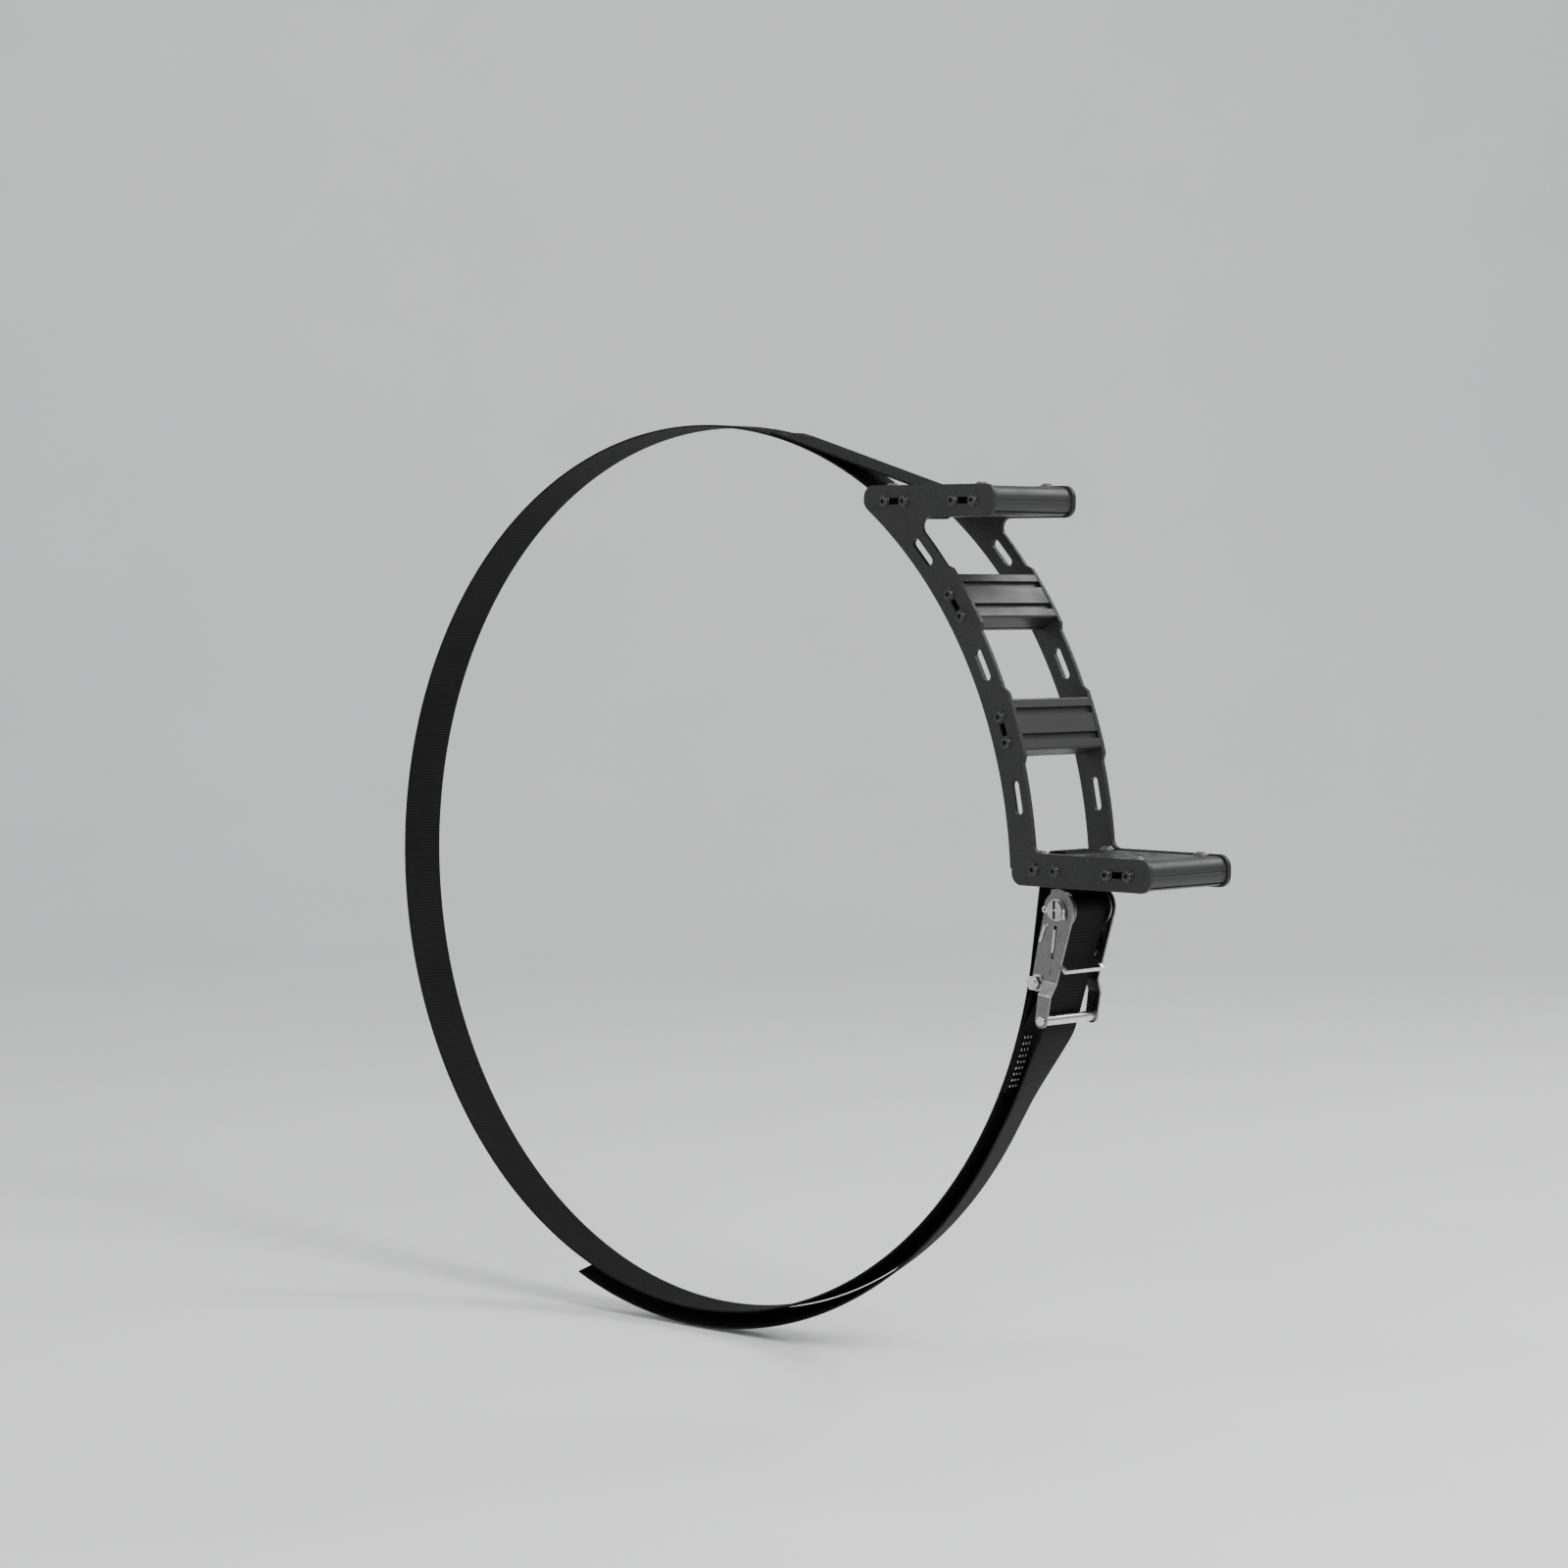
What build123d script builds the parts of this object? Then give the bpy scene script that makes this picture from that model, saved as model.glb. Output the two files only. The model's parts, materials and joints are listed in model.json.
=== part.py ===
"""Strap-on tire ladder: two side plates, two treads and two slats, held on a tire by a ratchet strap.

Millimetres. The origin is the tire's axis at the ladder's mid-width. +X points away from the tire through the
ladder, +Y runs along the tire's axis, and +Z is up. "Outer" is the -Y side and "inner" is the +Y side.
"""
from build123d import *
import math
import os

# ---- driving dimensions -------------------------------------------------------------------------------
TIRE_R = 453.5              # radius of the tire that the strap and the rails lie on
TREAD_LENGTH = 112.0        # treads and slats, between the side plates
PLATE_T = 5.0               # side plate thickness
BAND = 31.0                 # height of the arms and width of the rails
ARM_LENGTH = 167.5          # from the arm's rear end to its front end
ARM_CORNER_R = 12.0
UPPER_ARM_ANGLE = 55.58     # where the upper arm's middle line meets the tire, degrees above level
LOWER_ARM_ANGLE = 3.287
UPPER_ARM_REACH = 173.95    # from the tire to the arm's front end
LOWER_ARM_REACH = 169.25
BULGE = 4.0                 # how far the rail swells out beside each slat
BULGE_HALF_ANGLE = 3.7      # degrees
BULGE_RAMP = 0.8            # degrees from the rail's edge to the full swell
RAIL_SLOT_OFFSET = 17.0     # from the rail's inner edge to the middle of its slots and screws
PLATE_CHAMFER = 0.6
RAIL_PITCH = 8.07           # degrees between the slots and slats along the rail
LOWEST_SLOT_ANGLE = 11.4
RAIL_SLOT_LENGTH = 33.0
RAIL_SLOT_WIDTH = 9.0
INSIDE_FILLET = 9.0

TREAD_HEIGHT = 28.0
TREAD_FRONT_SETBACK = 1.8   # the nose stands this far behind the plates' front ends
TREAD_REAR_SETBACK = 9.3    # the rear stands this far ahead of the plates' rear ends
TREAD_WALL = 3.0
TREAD_CORNER_R = 12.0
DRIP_GROOVE_ANGLE = -48.0   # where the groove lies round the nose's lower corner
DRIP_GROOVE_WIDTH = 2.2
DRIP_GROOVE_DEPTH = 1.5
NOSE_LINE = 1.0             # size of the fine line along the nose
DRAIN_LENGTH = 15.0
DRAIN_WIDTH = 5.0
DRAIN_PITCH = 22.0          # between drain slots, both ways
SLAT_WIDTH = 51.0
SLAT_DEPTH = 24.0
SLAT_CORNER_R = 2.0
SLAT_WALL = 3.0
SLAT_FACE_WALL = 5.5        # thicker, because the grooves are cut into it
SLAT_FACE_SETBACK = 0.8     # from the swell's outer edge in to the slat's face
SLAT_LIP_NOTCH = 1.6        # the groove along each narrow face, near the rear
SLAT_LIP = 4.2              # the lip behind that groove
SLAT_GROOVE_WIDTH = 7.0
SLAT_GROOVE_DEPTH = 3.5

SCREW_R = 3.0               # M6
SCREW_LENGTH = 20.0         # under the head
SCREW_HEAD_R = 5.4
SCREW_HEAD_H = 3.3
SCREW_FLANGE_R = 6.8
SCREW_FLANGE_H = 1.2
SOCKET_R = 2.31             # 4 mm hexagon across the corners, halved
SOCKET_DEPTH = 2.2
SCREW_HEAD_FILLET = 1.7
SCREW_FLANGE_FILLET = 0.5
SCREW_PITCH = 25.6          # between the two screws of a pair
FRONT_PAIR_FROM_FRONT = 39.0
PAIR_SPACING = 88.0         # from a tread's front pair to its rear pair
SLOT_CLEARANCE = 0.2        # a plate slot round its screws, on the radius
THREAD_CLEARANCE = 0.05
BOSS_R = 6.0

STUD_R = 6.8
STUD_H = 2.2
STUD_CROWN_R = 4.8
STUD_CROWN_H = 1.5
STUD_SHANK_R = 3.0
STUD_EDGE = 0.6             # chamfer
STUD_CROWN_EDGE = 0.4
STUD_GROOVE = 1.4           # width of the cross cut in its crown
STUD_GROOVE_DEPTH = 0.8
STUD_FROM_PLATE = 7.6       # stud's axis to the plate's inner face

STRAP_WIDTH = 50.0
STRAP_T = 2.2
LAYER_GAP = 0.1             # between two layers of webbing in one body
BODY_GAP = 0.3              # between pieces that move past each other
STRAP_SLOT_WIDTH = 9.0
SLOT_LIP_R = 2.0            # the slot's edges that the webbing bends round
STRAP_SLOT_SPARE = 5.0      # slot's length beyond the webbing's width
LOOP_SEWN_ANGLE = 77.0      # where the upper loop's sewn end stops, degrees round the tire
ANCHOR_SEWN_ANGLE = -25.0   # where the anchor loop's sewn ends stop
ANCHOR_FOLD_ANGLE = -16.5   # where the anchor loop's two legs come together
ANCHOR_FOLD_R = 12.0
TAIL_LIFT = 7.5             # the loose tail's mean height over the main strap
TAIL_END_ANGLE = -112.0
TAIL_NODE_GAP = 1.2         # between the tail's two nodes, under the grip

MANDREL_FROM_TIRE = 33.5    # mandrel axis to the tire's surface, level
MANDREL_BELOW_ARM = 39.0    # and below the lower arm's middle
MANDREL_R = 9.0
MANDREL_SLOT = 3.0
MANDREL_END = 4.6           # the mandrel stands this far outside the handle plates
MANDREL_WASHER_RIM = 1.5    # the washer stands this far out round the mandrel
MANDREL_WASHER_T = 0.8
PIN_R = 1.2
PIN_EYE_R = 2.4
PIN_STICKS_OUT = 1.4        # the pin's bent ends from the mandrel's surface
PIN_LEG_LENGTH = 10.0
WRAP_THICKNESS = 2.7        # webbing wound on the mandrel
SHAFT_CLEARANCE = 0.05
WHEEL_TEETH = 12
WHEEL_TIP_R = 18.3
WHEEL_ROOT_R = 14.0
WHEEL_T = 2.0
WHEEL_SIDE_GAP = 0.2        # between a wheel and the plates beside it
TOOTH_TIP_START = 1.0       # degrees from a tooth's steep face to its tip's two ends and its toe
TOOTH_TIP_END = 4.0
TOOTH_TOE = 13.0
NOSE_TO_STEEP_FACE = 5.0    # degrees from the pawl's middle to the steep face it pushes
PAWL_CLEARANCE = 0.4        # pawl noses stop this far outside the wheel's tip circle
BASE_ANGLE = 20.8           # the base leans this far in from straight down
BASE_LENGTH = 76.0          # mandrel axis to anchor bolt axis
BASE_SPARE = 1.0            # the gap between the base plates, beyond the webbing's width
BASE_T = 1.8
BASE_HEAD_R = 18.8
BASE_END_R = 8.0
BASE_FRONT_NECK = (2.4, 18.0)       # outboard of the base's centre line, and down from the mandrel
BASE_REAR_SHOULDER = (-17.7, 6.4)
BASE_REAR_NECK = (-13.6, 39.6)
HANDLE_ANGLE = 7.3
HANDLE_LENGTH = 107.0       # mandrel axis to grip axis
HANDLE_T = 2.2
HANDLE_HEAD_R = 20.0
HANDLE_CAM_R = 16.4         # the head's rear side, where the locking pawl's tabs pass
HANDLE_END_R = 7.0
HANDLE_FRONT_SHOULDER = (19.2, 5.6)     # outboard of the handle's centre line, and down from the mandrel
HANDLE_FRONT_WAIST = (8.6, 68.0)
HANDLE_REAR_WAIST = (-7.0, 68.0)
HANDLE_EAR = (-17.5, 35.2)
HANDLE_REAR_SHOULDER = (-14.8, 13.4)
HANDLE_JOG = 6.5
HANDLE_JOG_BEND_R = 5.0
JOG_START = 70.0            # along the handle, from the mandrel axis
JOG_END = 83.0
GRIP_R = 5.1
GRIP_WALL = 2.0
GRIP_ROD_HEAD_R = 4.6
GRIP_ROD_HEAD_H = 2.2
GRIP_ROD_HEAD_FILLET = 1.5
ANCHOR_BOLT_R = 4.0         # M8
BOLT_HEAD_H = 5.0
BOLT_HEAD_FILLET = 2.0
BOLT_TIP = 1.5              # the bolt stands this far out of its nut
SPACER_R = 6.0
NUT_ACROSS_CORNERS_R = 7.5
NUT_H = 6.5
NUT_CORNER_TRIM = 0.3
WASHER_R = 8.0
WASHER_T = 1.6
DRIVE_PAWL_T = 2.6
DRIVE_PAWL_V = 0.5          # middle of the drive pawl, outboard of the handle's centre line
DRIVE_PAWL_TAB_LENGTH = 22.0
DRIVE_PAWL_END = 48.0       # the flat part's end, along the handle
DRIVE_NOTCH_DEPTH = 9.0     # the spring's notch in that end
DRIVE_WINDOW = 4.0          # how far the pawl is cut back between its noses, for the base plates
PAWL_TAB_PROUD = 1.3        # pawl tabs stand this far outside the handle plates
DRIVE_TRAVEL_IN = 3.5
DRIVE_TRAVEL_OUT = 6.0
PULL_BAR_U = 57.5           # pull bar, along the handle and outboard of its centre line
PULL_BAR_V = 15.5
PULL_BAR_SIZE = 3.2
PULL_BAR_EDGE_R = 0.9
PULL_ARM_BEND_R = 3.0
SPRING_BAR_U = 61.0         # the bar that the drive spring stands on, as above
SPRING_BAR_V = -1.4
PERCH_T = 2.4
PERCH_DEPTH = 4.5
PERCH_PROUD = 0.8
LOCK_PAWL_T = 3.0
LOCK_PAWL_V = -7.5
LOCK_NOSE_T = 2.4           # its noses are thinned on their inboard side
LOCK_PAWL_LENGTH = 17.0
LOCK_TRAVEL_IN = 3.5
LOCK_TRAVEL_OUT = 1.0
LOCK_PERCH_FROM_BOLT = 20.0
SPRING_END_GAP = 0.6
SPRING_WIRE_R = 0.4
SPRING_COIL_R = 2.0
SPRING_TURNS = 6

# ---- worked out from the sizes above ------------------------------------------------------------------
PLATE_IN = TREAD_LENGTH / 2
PLATE_OUT = PLATE_IN + PLATE_T
RAIL_OUT_R = TIRE_R + BAND
RAIL_MID_R = TIRE_R + RAIL_SLOT_OFFSET
UPPER_ARM_Z = TIRE_R * math.sin(math.radians(UPPER_ARM_ANGLE))
LOWER_ARM_Z = TIRE_R * math.sin(math.radians(LOWER_ARM_ANGLE))
UPPER_ARM_FRONT = TIRE_R * math.cos(math.radians(UPPER_ARM_ANGLE)) + UPPER_ARM_REACH
LOWER_ARM_FRONT = TIRE_R * math.cos(math.radians(LOWER_ARM_ANGLE)) + LOWER_ARM_REACH
MANDREL_X = TIRE_R + MANDREL_FROM_TIRE
MANDREL_Z = LOWER_ARM_Z - MANDREL_BELOW_ARM
UPPER_SLAT_ANGLE = LOWEST_SLOT_ANGLE + 3 * RAIL_PITCH
LOWER_SLAT_ANGLE = LOWEST_SLOT_ANGLE + RAIL_PITCH
RAIL_SLOT_ANGLES = [LOWEST_SLOT_ANGLE + step * RAIL_PITCH for step in (0, 2, 4)]
HALF_T = STRAP_T / 2
BASE_GAP = STRAP_WIDTH + BASE_SPARE
WHEEL_IN = BASE_GAP / 2 + BASE_T + WHEEL_SIDE_GAP
HANDLE_IN = WHEEL_IN + WHEEL_T + BODY_GAP
HANDLE_OUT = HANDLE_IN + HANDLE_T
WRAP_R = MANDREL_R + WRAP_THICKNESS
ROLL_R = WRAP_R + BODY_GAP + HALF_T
TREAD_X_LENGTH = ARM_LENGTH - TREAD_FRONT_SETBACK - TREAD_REAR_SETBACK

os.makedirs("parts", exist_ok=True)


def save(name, shape):
    """Writes one node's STEP file."""
    shape.label = name
    export_step(shape, f"parts/{name}.step")


def slab(sketch, y_low, y_high):
    """A solid with this X-Z outline between two Y planes."""
    return extrude(Plane.XZ.offset(-y_high) * sketch, amount=y_high - y_low)


def polar(radius, degrees):
    """X and Z of a point at this angle round the tire's axis."""
    return radius * math.cos(math.radians(degrees)), radius * math.sin(math.radians(degrees))


def outline(*points):
    return make_face(Polyline(*points, close=True))


def rod(radius, y_low, y_high, x=0.0, z=0.0):
    """A cylinder along Y."""
    return slab(Pos(x, z) * Circle(radius), y_low, y_high)


def mirrored(shape):
    """The same shape on the other side of the mid-plane."""
    return mirror(shape, about=Plane.XZ)


def corner_fillet(sketch, x, z, radius):
    """Rounds the sketch's corner nearest to a point."""
    corner = sketch.vertices().sort_by_distance((x, z, 0))[0]
    return fillet(corner, radius)


# ---- side plates --------------------------------------------------------------------------------------
def sector(a_low, a_high, radius):
    """A wedge from the tire's axis between two angles."""
    middle = (a_low + a_high) / 2
    reach = radius * 1.5
    return outline((0, 0), polar(reach, a_low), polar(reach, middle), polar(reach, a_high))


def arm(front, middle_z):
    """One arm of the side plate, cut to the tire's curve at its rear."""
    block = Pos(front - ARM_LENGTH / 2, middle_z) * Rectangle(ARM_LENGTH, BAND)
    return block - Circle(TIRE_R)


def bulge(angle):
    """The swell beside a slat, with short ramps at its ends."""
    foot = BULGE_HALF_ANGLE + BULGE_RAMP
    points = [
        polar(TIRE_R + BAND / 2, angle - foot),
        polar(RAIL_OUT_R, angle - foot),
        polar(RAIL_OUT_R + BULGE, angle - BULGE_HALF_ANGLE),
        polar((RAIL_OUT_R + BULGE) / math.cos(math.radians(BULGE_HALF_ANGLE)), angle),
        polar(RAIL_OUT_R + BULGE, angle + BULGE_HALF_ANGLE),
        polar(RAIL_OUT_R, angle + foot),
        polar(TIRE_R + BAND / 2, angle + foot),
    ]
    return outline(*points) & Circle(RAIL_OUT_R + BULGE)


def tread_screw_points(front, middle_z):
    """Axes of a tread's four screws, from rear to front."""
    front_pair = front - FRONT_PAIR_FROM_FRONT
    rear_pair = front_pair - PAIR_SPACING
    offsets = (-SCREW_PITCH / 2, SCREW_PITCH / 2)
    return [(pair + offset, middle_z) for pair in (rear_pair, front_pair) for offset in offsets]


def slat_screw_points(angle):
    """Axes of a slat's two screws."""
    middle = Vector(*polar(RAIL_MID_R, angle))
    along = Vector(*polar(1.0, angle + 90))
    offsets = (-SCREW_PITCH / 2, SCREW_PITCH / 2)
    return [tuple(middle + along * offset)[:2] for offset in offsets]


UPPER_SCREWS = tread_screw_points(UPPER_ARM_FRONT, UPPER_ARM_Z)
LOWER_SCREWS = tread_screw_points(LOWER_ARM_FRONT, LOWER_ARM_Z)
SLAT_SCREWS = slat_screw_points(UPPER_SLAT_ANGLE) + slat_screw_points(LOWER_SLAT_ANGLE)


def pair_slot(first, second):
    """The oblong hole that takes a pair of screws."""
    a, b = Vector(*first), Vector(*second)
    tilt = math.degrees(math.atan2(b.Y - a.Y, b.X - a.X))
    width = 2 * (SCREW_R + SLOT_CLEARANCE)
    return Pos((a + b) / 2) * Rot(0, 0, tilt) * SlotCenterToCenter((b - a).length, width)


def side_plate_outline():
    low = math.degrees(math.asin(LOWER_ARM_Z / TIRE_R))
    high = math.degrees(math.asin(UPPER_ARM_Z / (TIRE_R + BAND / 2)))
    shape = (Circle(RAIL_OUT_R) - Circle(TIRE_R)) & sector(low, high, RAIL_OUT_R)
    shape = shape + arm(UPPER_ARM_FRONT, UPPER_ARM_Z) + arm(LOWER_ARM_FRONT, LOWER_ARM_Z)
    shape = shape + bulge(UPPER_SLAT_ANGLE) + bulge(LOWER_SLAT_ANGLE)
    top, under = UPPER_ARM_Z + BAND / 2, UPPER_ARM_Z - BAND / 2
    step, bottom = LOWER_ARM_Z + BAND / 2, LOWER_ARM_Z - BAND / 2
    rear = UPPER_ARM_FRONT - ARM_LENGTH
    corners = [
        (UPPER_ARM_FRONT, top, ARM_CORNER_R),
        (UPPER_ARM_FRONT, under, ARM_CORNER_R),
        (rear, top, ARM_CORNER_R),
        (rear, math.sqrt(TIRE_R**2 - rear**2), ARM_CORNER_R),
        (LOWER_ARM_FRONT, step, ARM_CORNER_R),
        (LOWER_ARM_FRONT, bottom, ARM_CORNER_R),
        (TIRE_R, bottom, ARM_CORNER_R),
        (math.sqrt(RAIL_OUT_R**2 - under**2), under, INSIDE_FILLET),
        (math.sqrt(RAIL_OUT_R**2 - step**2), step, INSIDE_FILLET),
    ]
    for x, z, radius in corners:
        shape = corner_fillet(shape, x, z, radius)
    return shape


def side_plate():
    """The outer side plate, with its screw slots and the long slots in its rail."""
    shape = side_plate_outline()
    for angle in RAIL_SLOT_ANGLES:
        place = Pos(*polar(RAIL_MID_R, angle)) * Rot(0, 0, angle + 90)
        shape -= place * SlotOverall(RAIL_SLOT_LENGTH, RAIL_SLOT_WIDTH)
    for first, second in zip(UPPER_SCREWS[::2], UPPER_SCREWS[1::2]):
        shape -= pair_slot(first, second)
    for first, second in zip(SLAT_SCREWS[::2], SLAT_SCREWS[1::2]):
        shape -= pair_slot(first, second)
    shape -= pair_slot(*LOWER_SCREWS[2:])
    for x, z in LOWER_SCREWS[:2]:
        shape -= Pos(x, z) * Circle(SCREW_R + SLOT_CLEARANCE)
    plate = slab(shape, -PLATE_OUT, -PLATE_IN)
    faces = plate.faces().filter_by(Axis.Y)
    rims = [edge for face in faces for edge in face.outer_wire().edges()]
    return chamfer(rims, PLATE_CHAMFER)


plate = side_plate()
save("side_plate_outer", plate)
save("side_plate_inner", mirrored(plate))


# ---- treads and slats ---------------------------------------------------------------------------------
def tread(front, middle_z, screws):
    """A hollow extrusion with four screw bosses, a strap slot and its studs' holes."""
    nose = front - TREAD_FRONT_SETBACK
    middle_x = nose - TREAD_X_LENGTH / 2
    place = Pos(middle_x, middle_z)
    outside = place * RectangleRounded(TREAD_X_LENGTH, TREAD_HEIGHT, TREAD_CORNER_R)
    inside = place * RectangleRounded(
        TREAD_X_LENGTH - 2 * TREAD_WALL, TREAD_HEIGHT - 2 * TREAD_WALL, TREAD_CORNER_R - TREAD_WALL
    )
    for x, z in screws:
        inside -= Pos(x, z) * Circle(BOSS_R)
        inside -= Pos(x, z) * Rectangle(TREAD_WALL, TREAD_HEIGHT)
    shape = outside - inside
    for x, z in screws:
        shape -= Pos(x, z) * Circle(SCREW_R + THREAD_CLEARANCE)
    corner_x = nose - TREAD_CORNER_R
    corner_z = middle_z - TREAD_HEIGHT / 2 + TREAD_CORNER_R
    drip_x, drip_z = polar(TREAD_CORNER_R, DRIP_GROOVE_ANGLE)
    groove = Rot(0, 0, DRIP_GROOVE_ANGLE) * Rectangle(2 * DRIP_GROOVE_DEPTH, DRIP_GROOVE_WIDTH)
    shape -= Pos(corner_x + drip_x, corner_z + drip_z) * groove
    shape -= Pos(nose, middle_z) * Rot(0, 0, 45) * Rectangle(NOSE_LINE, NOSE_LINE)
    body = slab(shape, -PLATE_IN, PLATE_IN)
    top = middle_z + TREAD_HEIGHT / 2
    slot_x = (screws[0][0] + screws[1][0]) / 2
    slot = Box(STRAP_SLOT_WIDTH, STRAP_WIDTH + STRAP_SLOT_SPARE, TREAD_HEIGHT * 2)
    body -= Pos(slot_x, 0, middle_z) * slot
    lip_x = slot_x - STRAP_SLOT_WIDTH / 2
    lips = body.edges().filter_by(Axis.Y).filter_by_position(Axis.X, lip_x - 0.01, lip_x + 0.01)
    body = fillet([lips.sort_by(Axis.Z)[0], lips.sort_by(Axis.Z)[-1]], SLOT_LIP_R)
    for x, y in stud_points(screws):
        body -= Pos(x, y, top - TREAD_WALL / 2) * Cylinder(STUD_SHANK_R + THREAD_CLEARANCE, TREAD_WALL)
    for drain in drain_slots(screws, top):
        body -= drain
    return body


def stud_points(screws):
    reach = PLATE_IN - STUD_FROM_PLATE
    return [(screws[end][0], side) for end in (0, 3) for side in (-reach, reach)]


def drain_slots(screws, top):
    """Two rows of oblong slots through the tread's top wall."""
    cutters = []
    middle = (screws[1][0] + screws[2][0]) / 2
    for row in (-0.5, 0.5):
        for place in (-1.5, -0.5, 0.5, 1.5):
            spot = Pos(middle + row * DRAIN_PITCH, place * DRAIN_PITCH, top - 2 * TREAD_WALL)
            oblong = spot * Rot(0, 0, 90) * SlotOverall(DRAIN_LENGTH, DRAIN_WIDTH)
            cutters.append(extrude(oblong, amount=3 * TREAD_WALL))
    return cutters


def studs(screws, top):
    """Four low round studs pressed into the tread's top."""
    solids = []
    for x, y in stud_points(screws):
        shank = Pos(x, y, top - TREAD_WALL / 2) * Cylinder(STUD_SHANK_R, TREAD_WALL)
        disc = Pos(x, y, top + STUD_H / 2) * Cylinder(STUD_R, STUD_H)
        disc = chamfer(disc.edges().sort_by(Axis.Z)[-1], STUD_EDGE)
        crown = Pos(x, y, top + STUD_H + STUD_CROWN_H / 2) * Cylinder(STUD_CROWN_R, STUD_CROWN_H)
        crown = chamfer(crown.edges().sort_by(Axis.Z)[-1], STUD_CROWN_EDGE)
        stud = shank + disc + crown
        for turn in (0, 90):
            groove = Pos(x, y, top + STUD_H + STUD_CROWN_H) * Rot(0, 0, 45 + turn)
            stud -= groove * Box(3 * STUD_R, STUD_GROOVE, 2 * STUD_GROOVE_DEPTH)
        solids.append(stud)
    return Compound(children=solids)


def slat(angle):
    """A grooved hollow extrusion, square to the tire's radius."""
    face = BAND + BULGE - SLAT_FACE_SETBACK - RAIL_SLOT_OFFSET
    rear = face - SLAT_DEPTH
    middle = (face + rear) / 2
    outside = Pos(middle, 0) * RectangleRounded(SLAT_DEPTH, SLAT_WIDTH, SLAT_CORNER_R)
    depth = SLAT_DEPTH - SLAT_WALL - SLAT_FACE_WALL
    inside = Pos(rear + SLAT_WALL + depth / 2, 0) * Rectangle(depth, SLAT_WIDTH - 2 * SLAT_WALL)
    for side in (-1, 1):
        inside -= Pos(0, side * SCREW_PITCH / 2) * Circle(BOSS_R)
        inside -= Pos(middle, side * SCREW_PITCH / 2) * Rectangle(SLAT_DEPTH, SLAT_WALL)
    shape = outside - inside
    for side in (-1, 1):
        shape -= Pos(0, side * SCREW_PITCH / 2) * Circle(SCREW_R + THREAD_CLEARANCE)
        groove = Rectangle(2 * SLAT_GROOVE_DEPTH, SLAT_GROOVE_WIDTH)
        shape -= Pos(face, side * SCREW_PITCH / 2) * groove
        notch = Rectangle(SLAT_LIP_NOTCH, 2 * SLAT_LIP_NOTCH)
        shape -= Pos(rear + SLAT_LIP + SLAT_LIP_NOTCH / 2, side * SLAT_WIDTH / 2) * notch
    place = Pos(*polar(RAIL_MID_R, angle)) * Rot(0, 0, angle)
    return slab(place * shape, -PLATE_IN, PLATE_IN)


def screw(x, z):
    """A flanged button-head screw in the outer side plate."""
    seat = -PLATE_OUT
    body = rod(SCREW_R, seat, seat + SCREW_LENGTH, x, z)
    flange = rod(SCREW_FLANGE_R, seat - SCREW_FLANGE_H, seat, x, z)
    flange = fillet(flange.edges().filter_by(GeomType.CIRCLE).sort_by(Axis.Y)[0], SCREW_FLANGE_FILLET)
    head = rod(SCREW_HEAD_R, seat - SCREW_HEAD_H, seat - SCREW_FLANGE_H, x, z)
    head = fillet(head.edges().filter_by(GeomType.CIRCLE).sort_by(Axis.Y)[0], SCREW_HEAD_FILLET)
    socket = Pos(x, z) * RegularPolygon(SOCKET_R, 6)
    return body + flange + head - slab(socket, seat - SCREW_HEAD_H, seat - SCREW_HEAD_H + SOCKET_DEPTH)


save("upper_tread", tread(UPPER_ARM_FRONT, UPPER_ARM_Z, UPPER_SCREWS))
save("lower_tread", tread(LOWER_ARM_FRONT, LOWER_ARM_Z, LOWER_SCREWS))
save("upper_slat", slat(UPPER_SLAT_ANGLE))
save("lower_slat", slat(LOWER_SLAT_ANGLE))
save("upper_studs", studs(UPPER_SCREWS, UPPER_ARM_Z + TREAD_HEIGHT / 2))
save("lower_studs", studs(LOWER_SCREWS, LOWER_ARM_Z + TREAD_HEIGHT / 2))
for group, points in (("tread", UPPER_SCREWS + LOWER_SCREWS), ("slat", SLAT_SCREWS)):
    outer = [screw(x, z) for x, z in points]
    save(f"{group}_screws_outer", Compound(children=outer))
    save(f"{group}_screws_inner", Compound(children=[mirrored(one) for one in outer]))


# ---- webbing ------------------------------------------------------------------------------------------
def tangent(a, b):
    """The straight run from one round guide to the next.

    A guide is (x, z, radius, turn): turn +1 has the webbing go round it anticlockwise, -1 clockwise.
    """
    ax, az, ar, aturn = a
    bx, bz, br, bturn = b
    distance = math.hypot(bx - ax, bz - az)
    heading = math.atan2(bz - az, bx - ax)
    lean = math.asin((aturn * ar - bturn * br) / distance)
    direction = heading + lean
    side_x, side_z = math.sin(direction), -math.cos(direction)
    start = (ax + aturn * ar * side_x, az + aturn * ar * side_z)
    end = (bx + bturn * br * side_x, bz + bturn * br * side_z)
    return start, end


def belt(guides, first=None, last=None):
    """Straight runs joined by arcs round the guides. first and last are end points on the end guides."""
    runs = [tangent(a, b) for a, b in zip(guides, guides[1:])]
    edges = []
    if first is not None:
        edges.append(arc(guides[0], first, runs[0][0]))
    for index, (start, end) in enumerate(runs):
        edges.append(Line(start, end))
        if index + 1 < len(runs):
            edges.append(arc(guides[index + 1], end, runs[index + 1][0]))
    if last is not None:
        edges.append(arc(guides[-1], runs[-1][1], last))
    return edges


def arc(guide, start, end):
    """The arc round a guide between two points, the way the guide turns."""
    x, z, radius, turn = guide
    a0 = math.degrees(math.atan2(start[1] - z, start[0] - x))
    a1 = math.degrees(math.atan2(end[1] - z, end[0] - x))
    sweep_angle = (a1 - a0) % 360 if turn > 0 else -((a0 - a1) % 360)
    return CenterArc((x, z), radius, a0, sweep_angle)


def webbing(edges):
    """A flat strap that follows the edges."""
    return slab(trace(edges, line_width=STRAP_T), -STRAP_WIDTH / 2, STRAP_WIDTH / 2)


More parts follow.
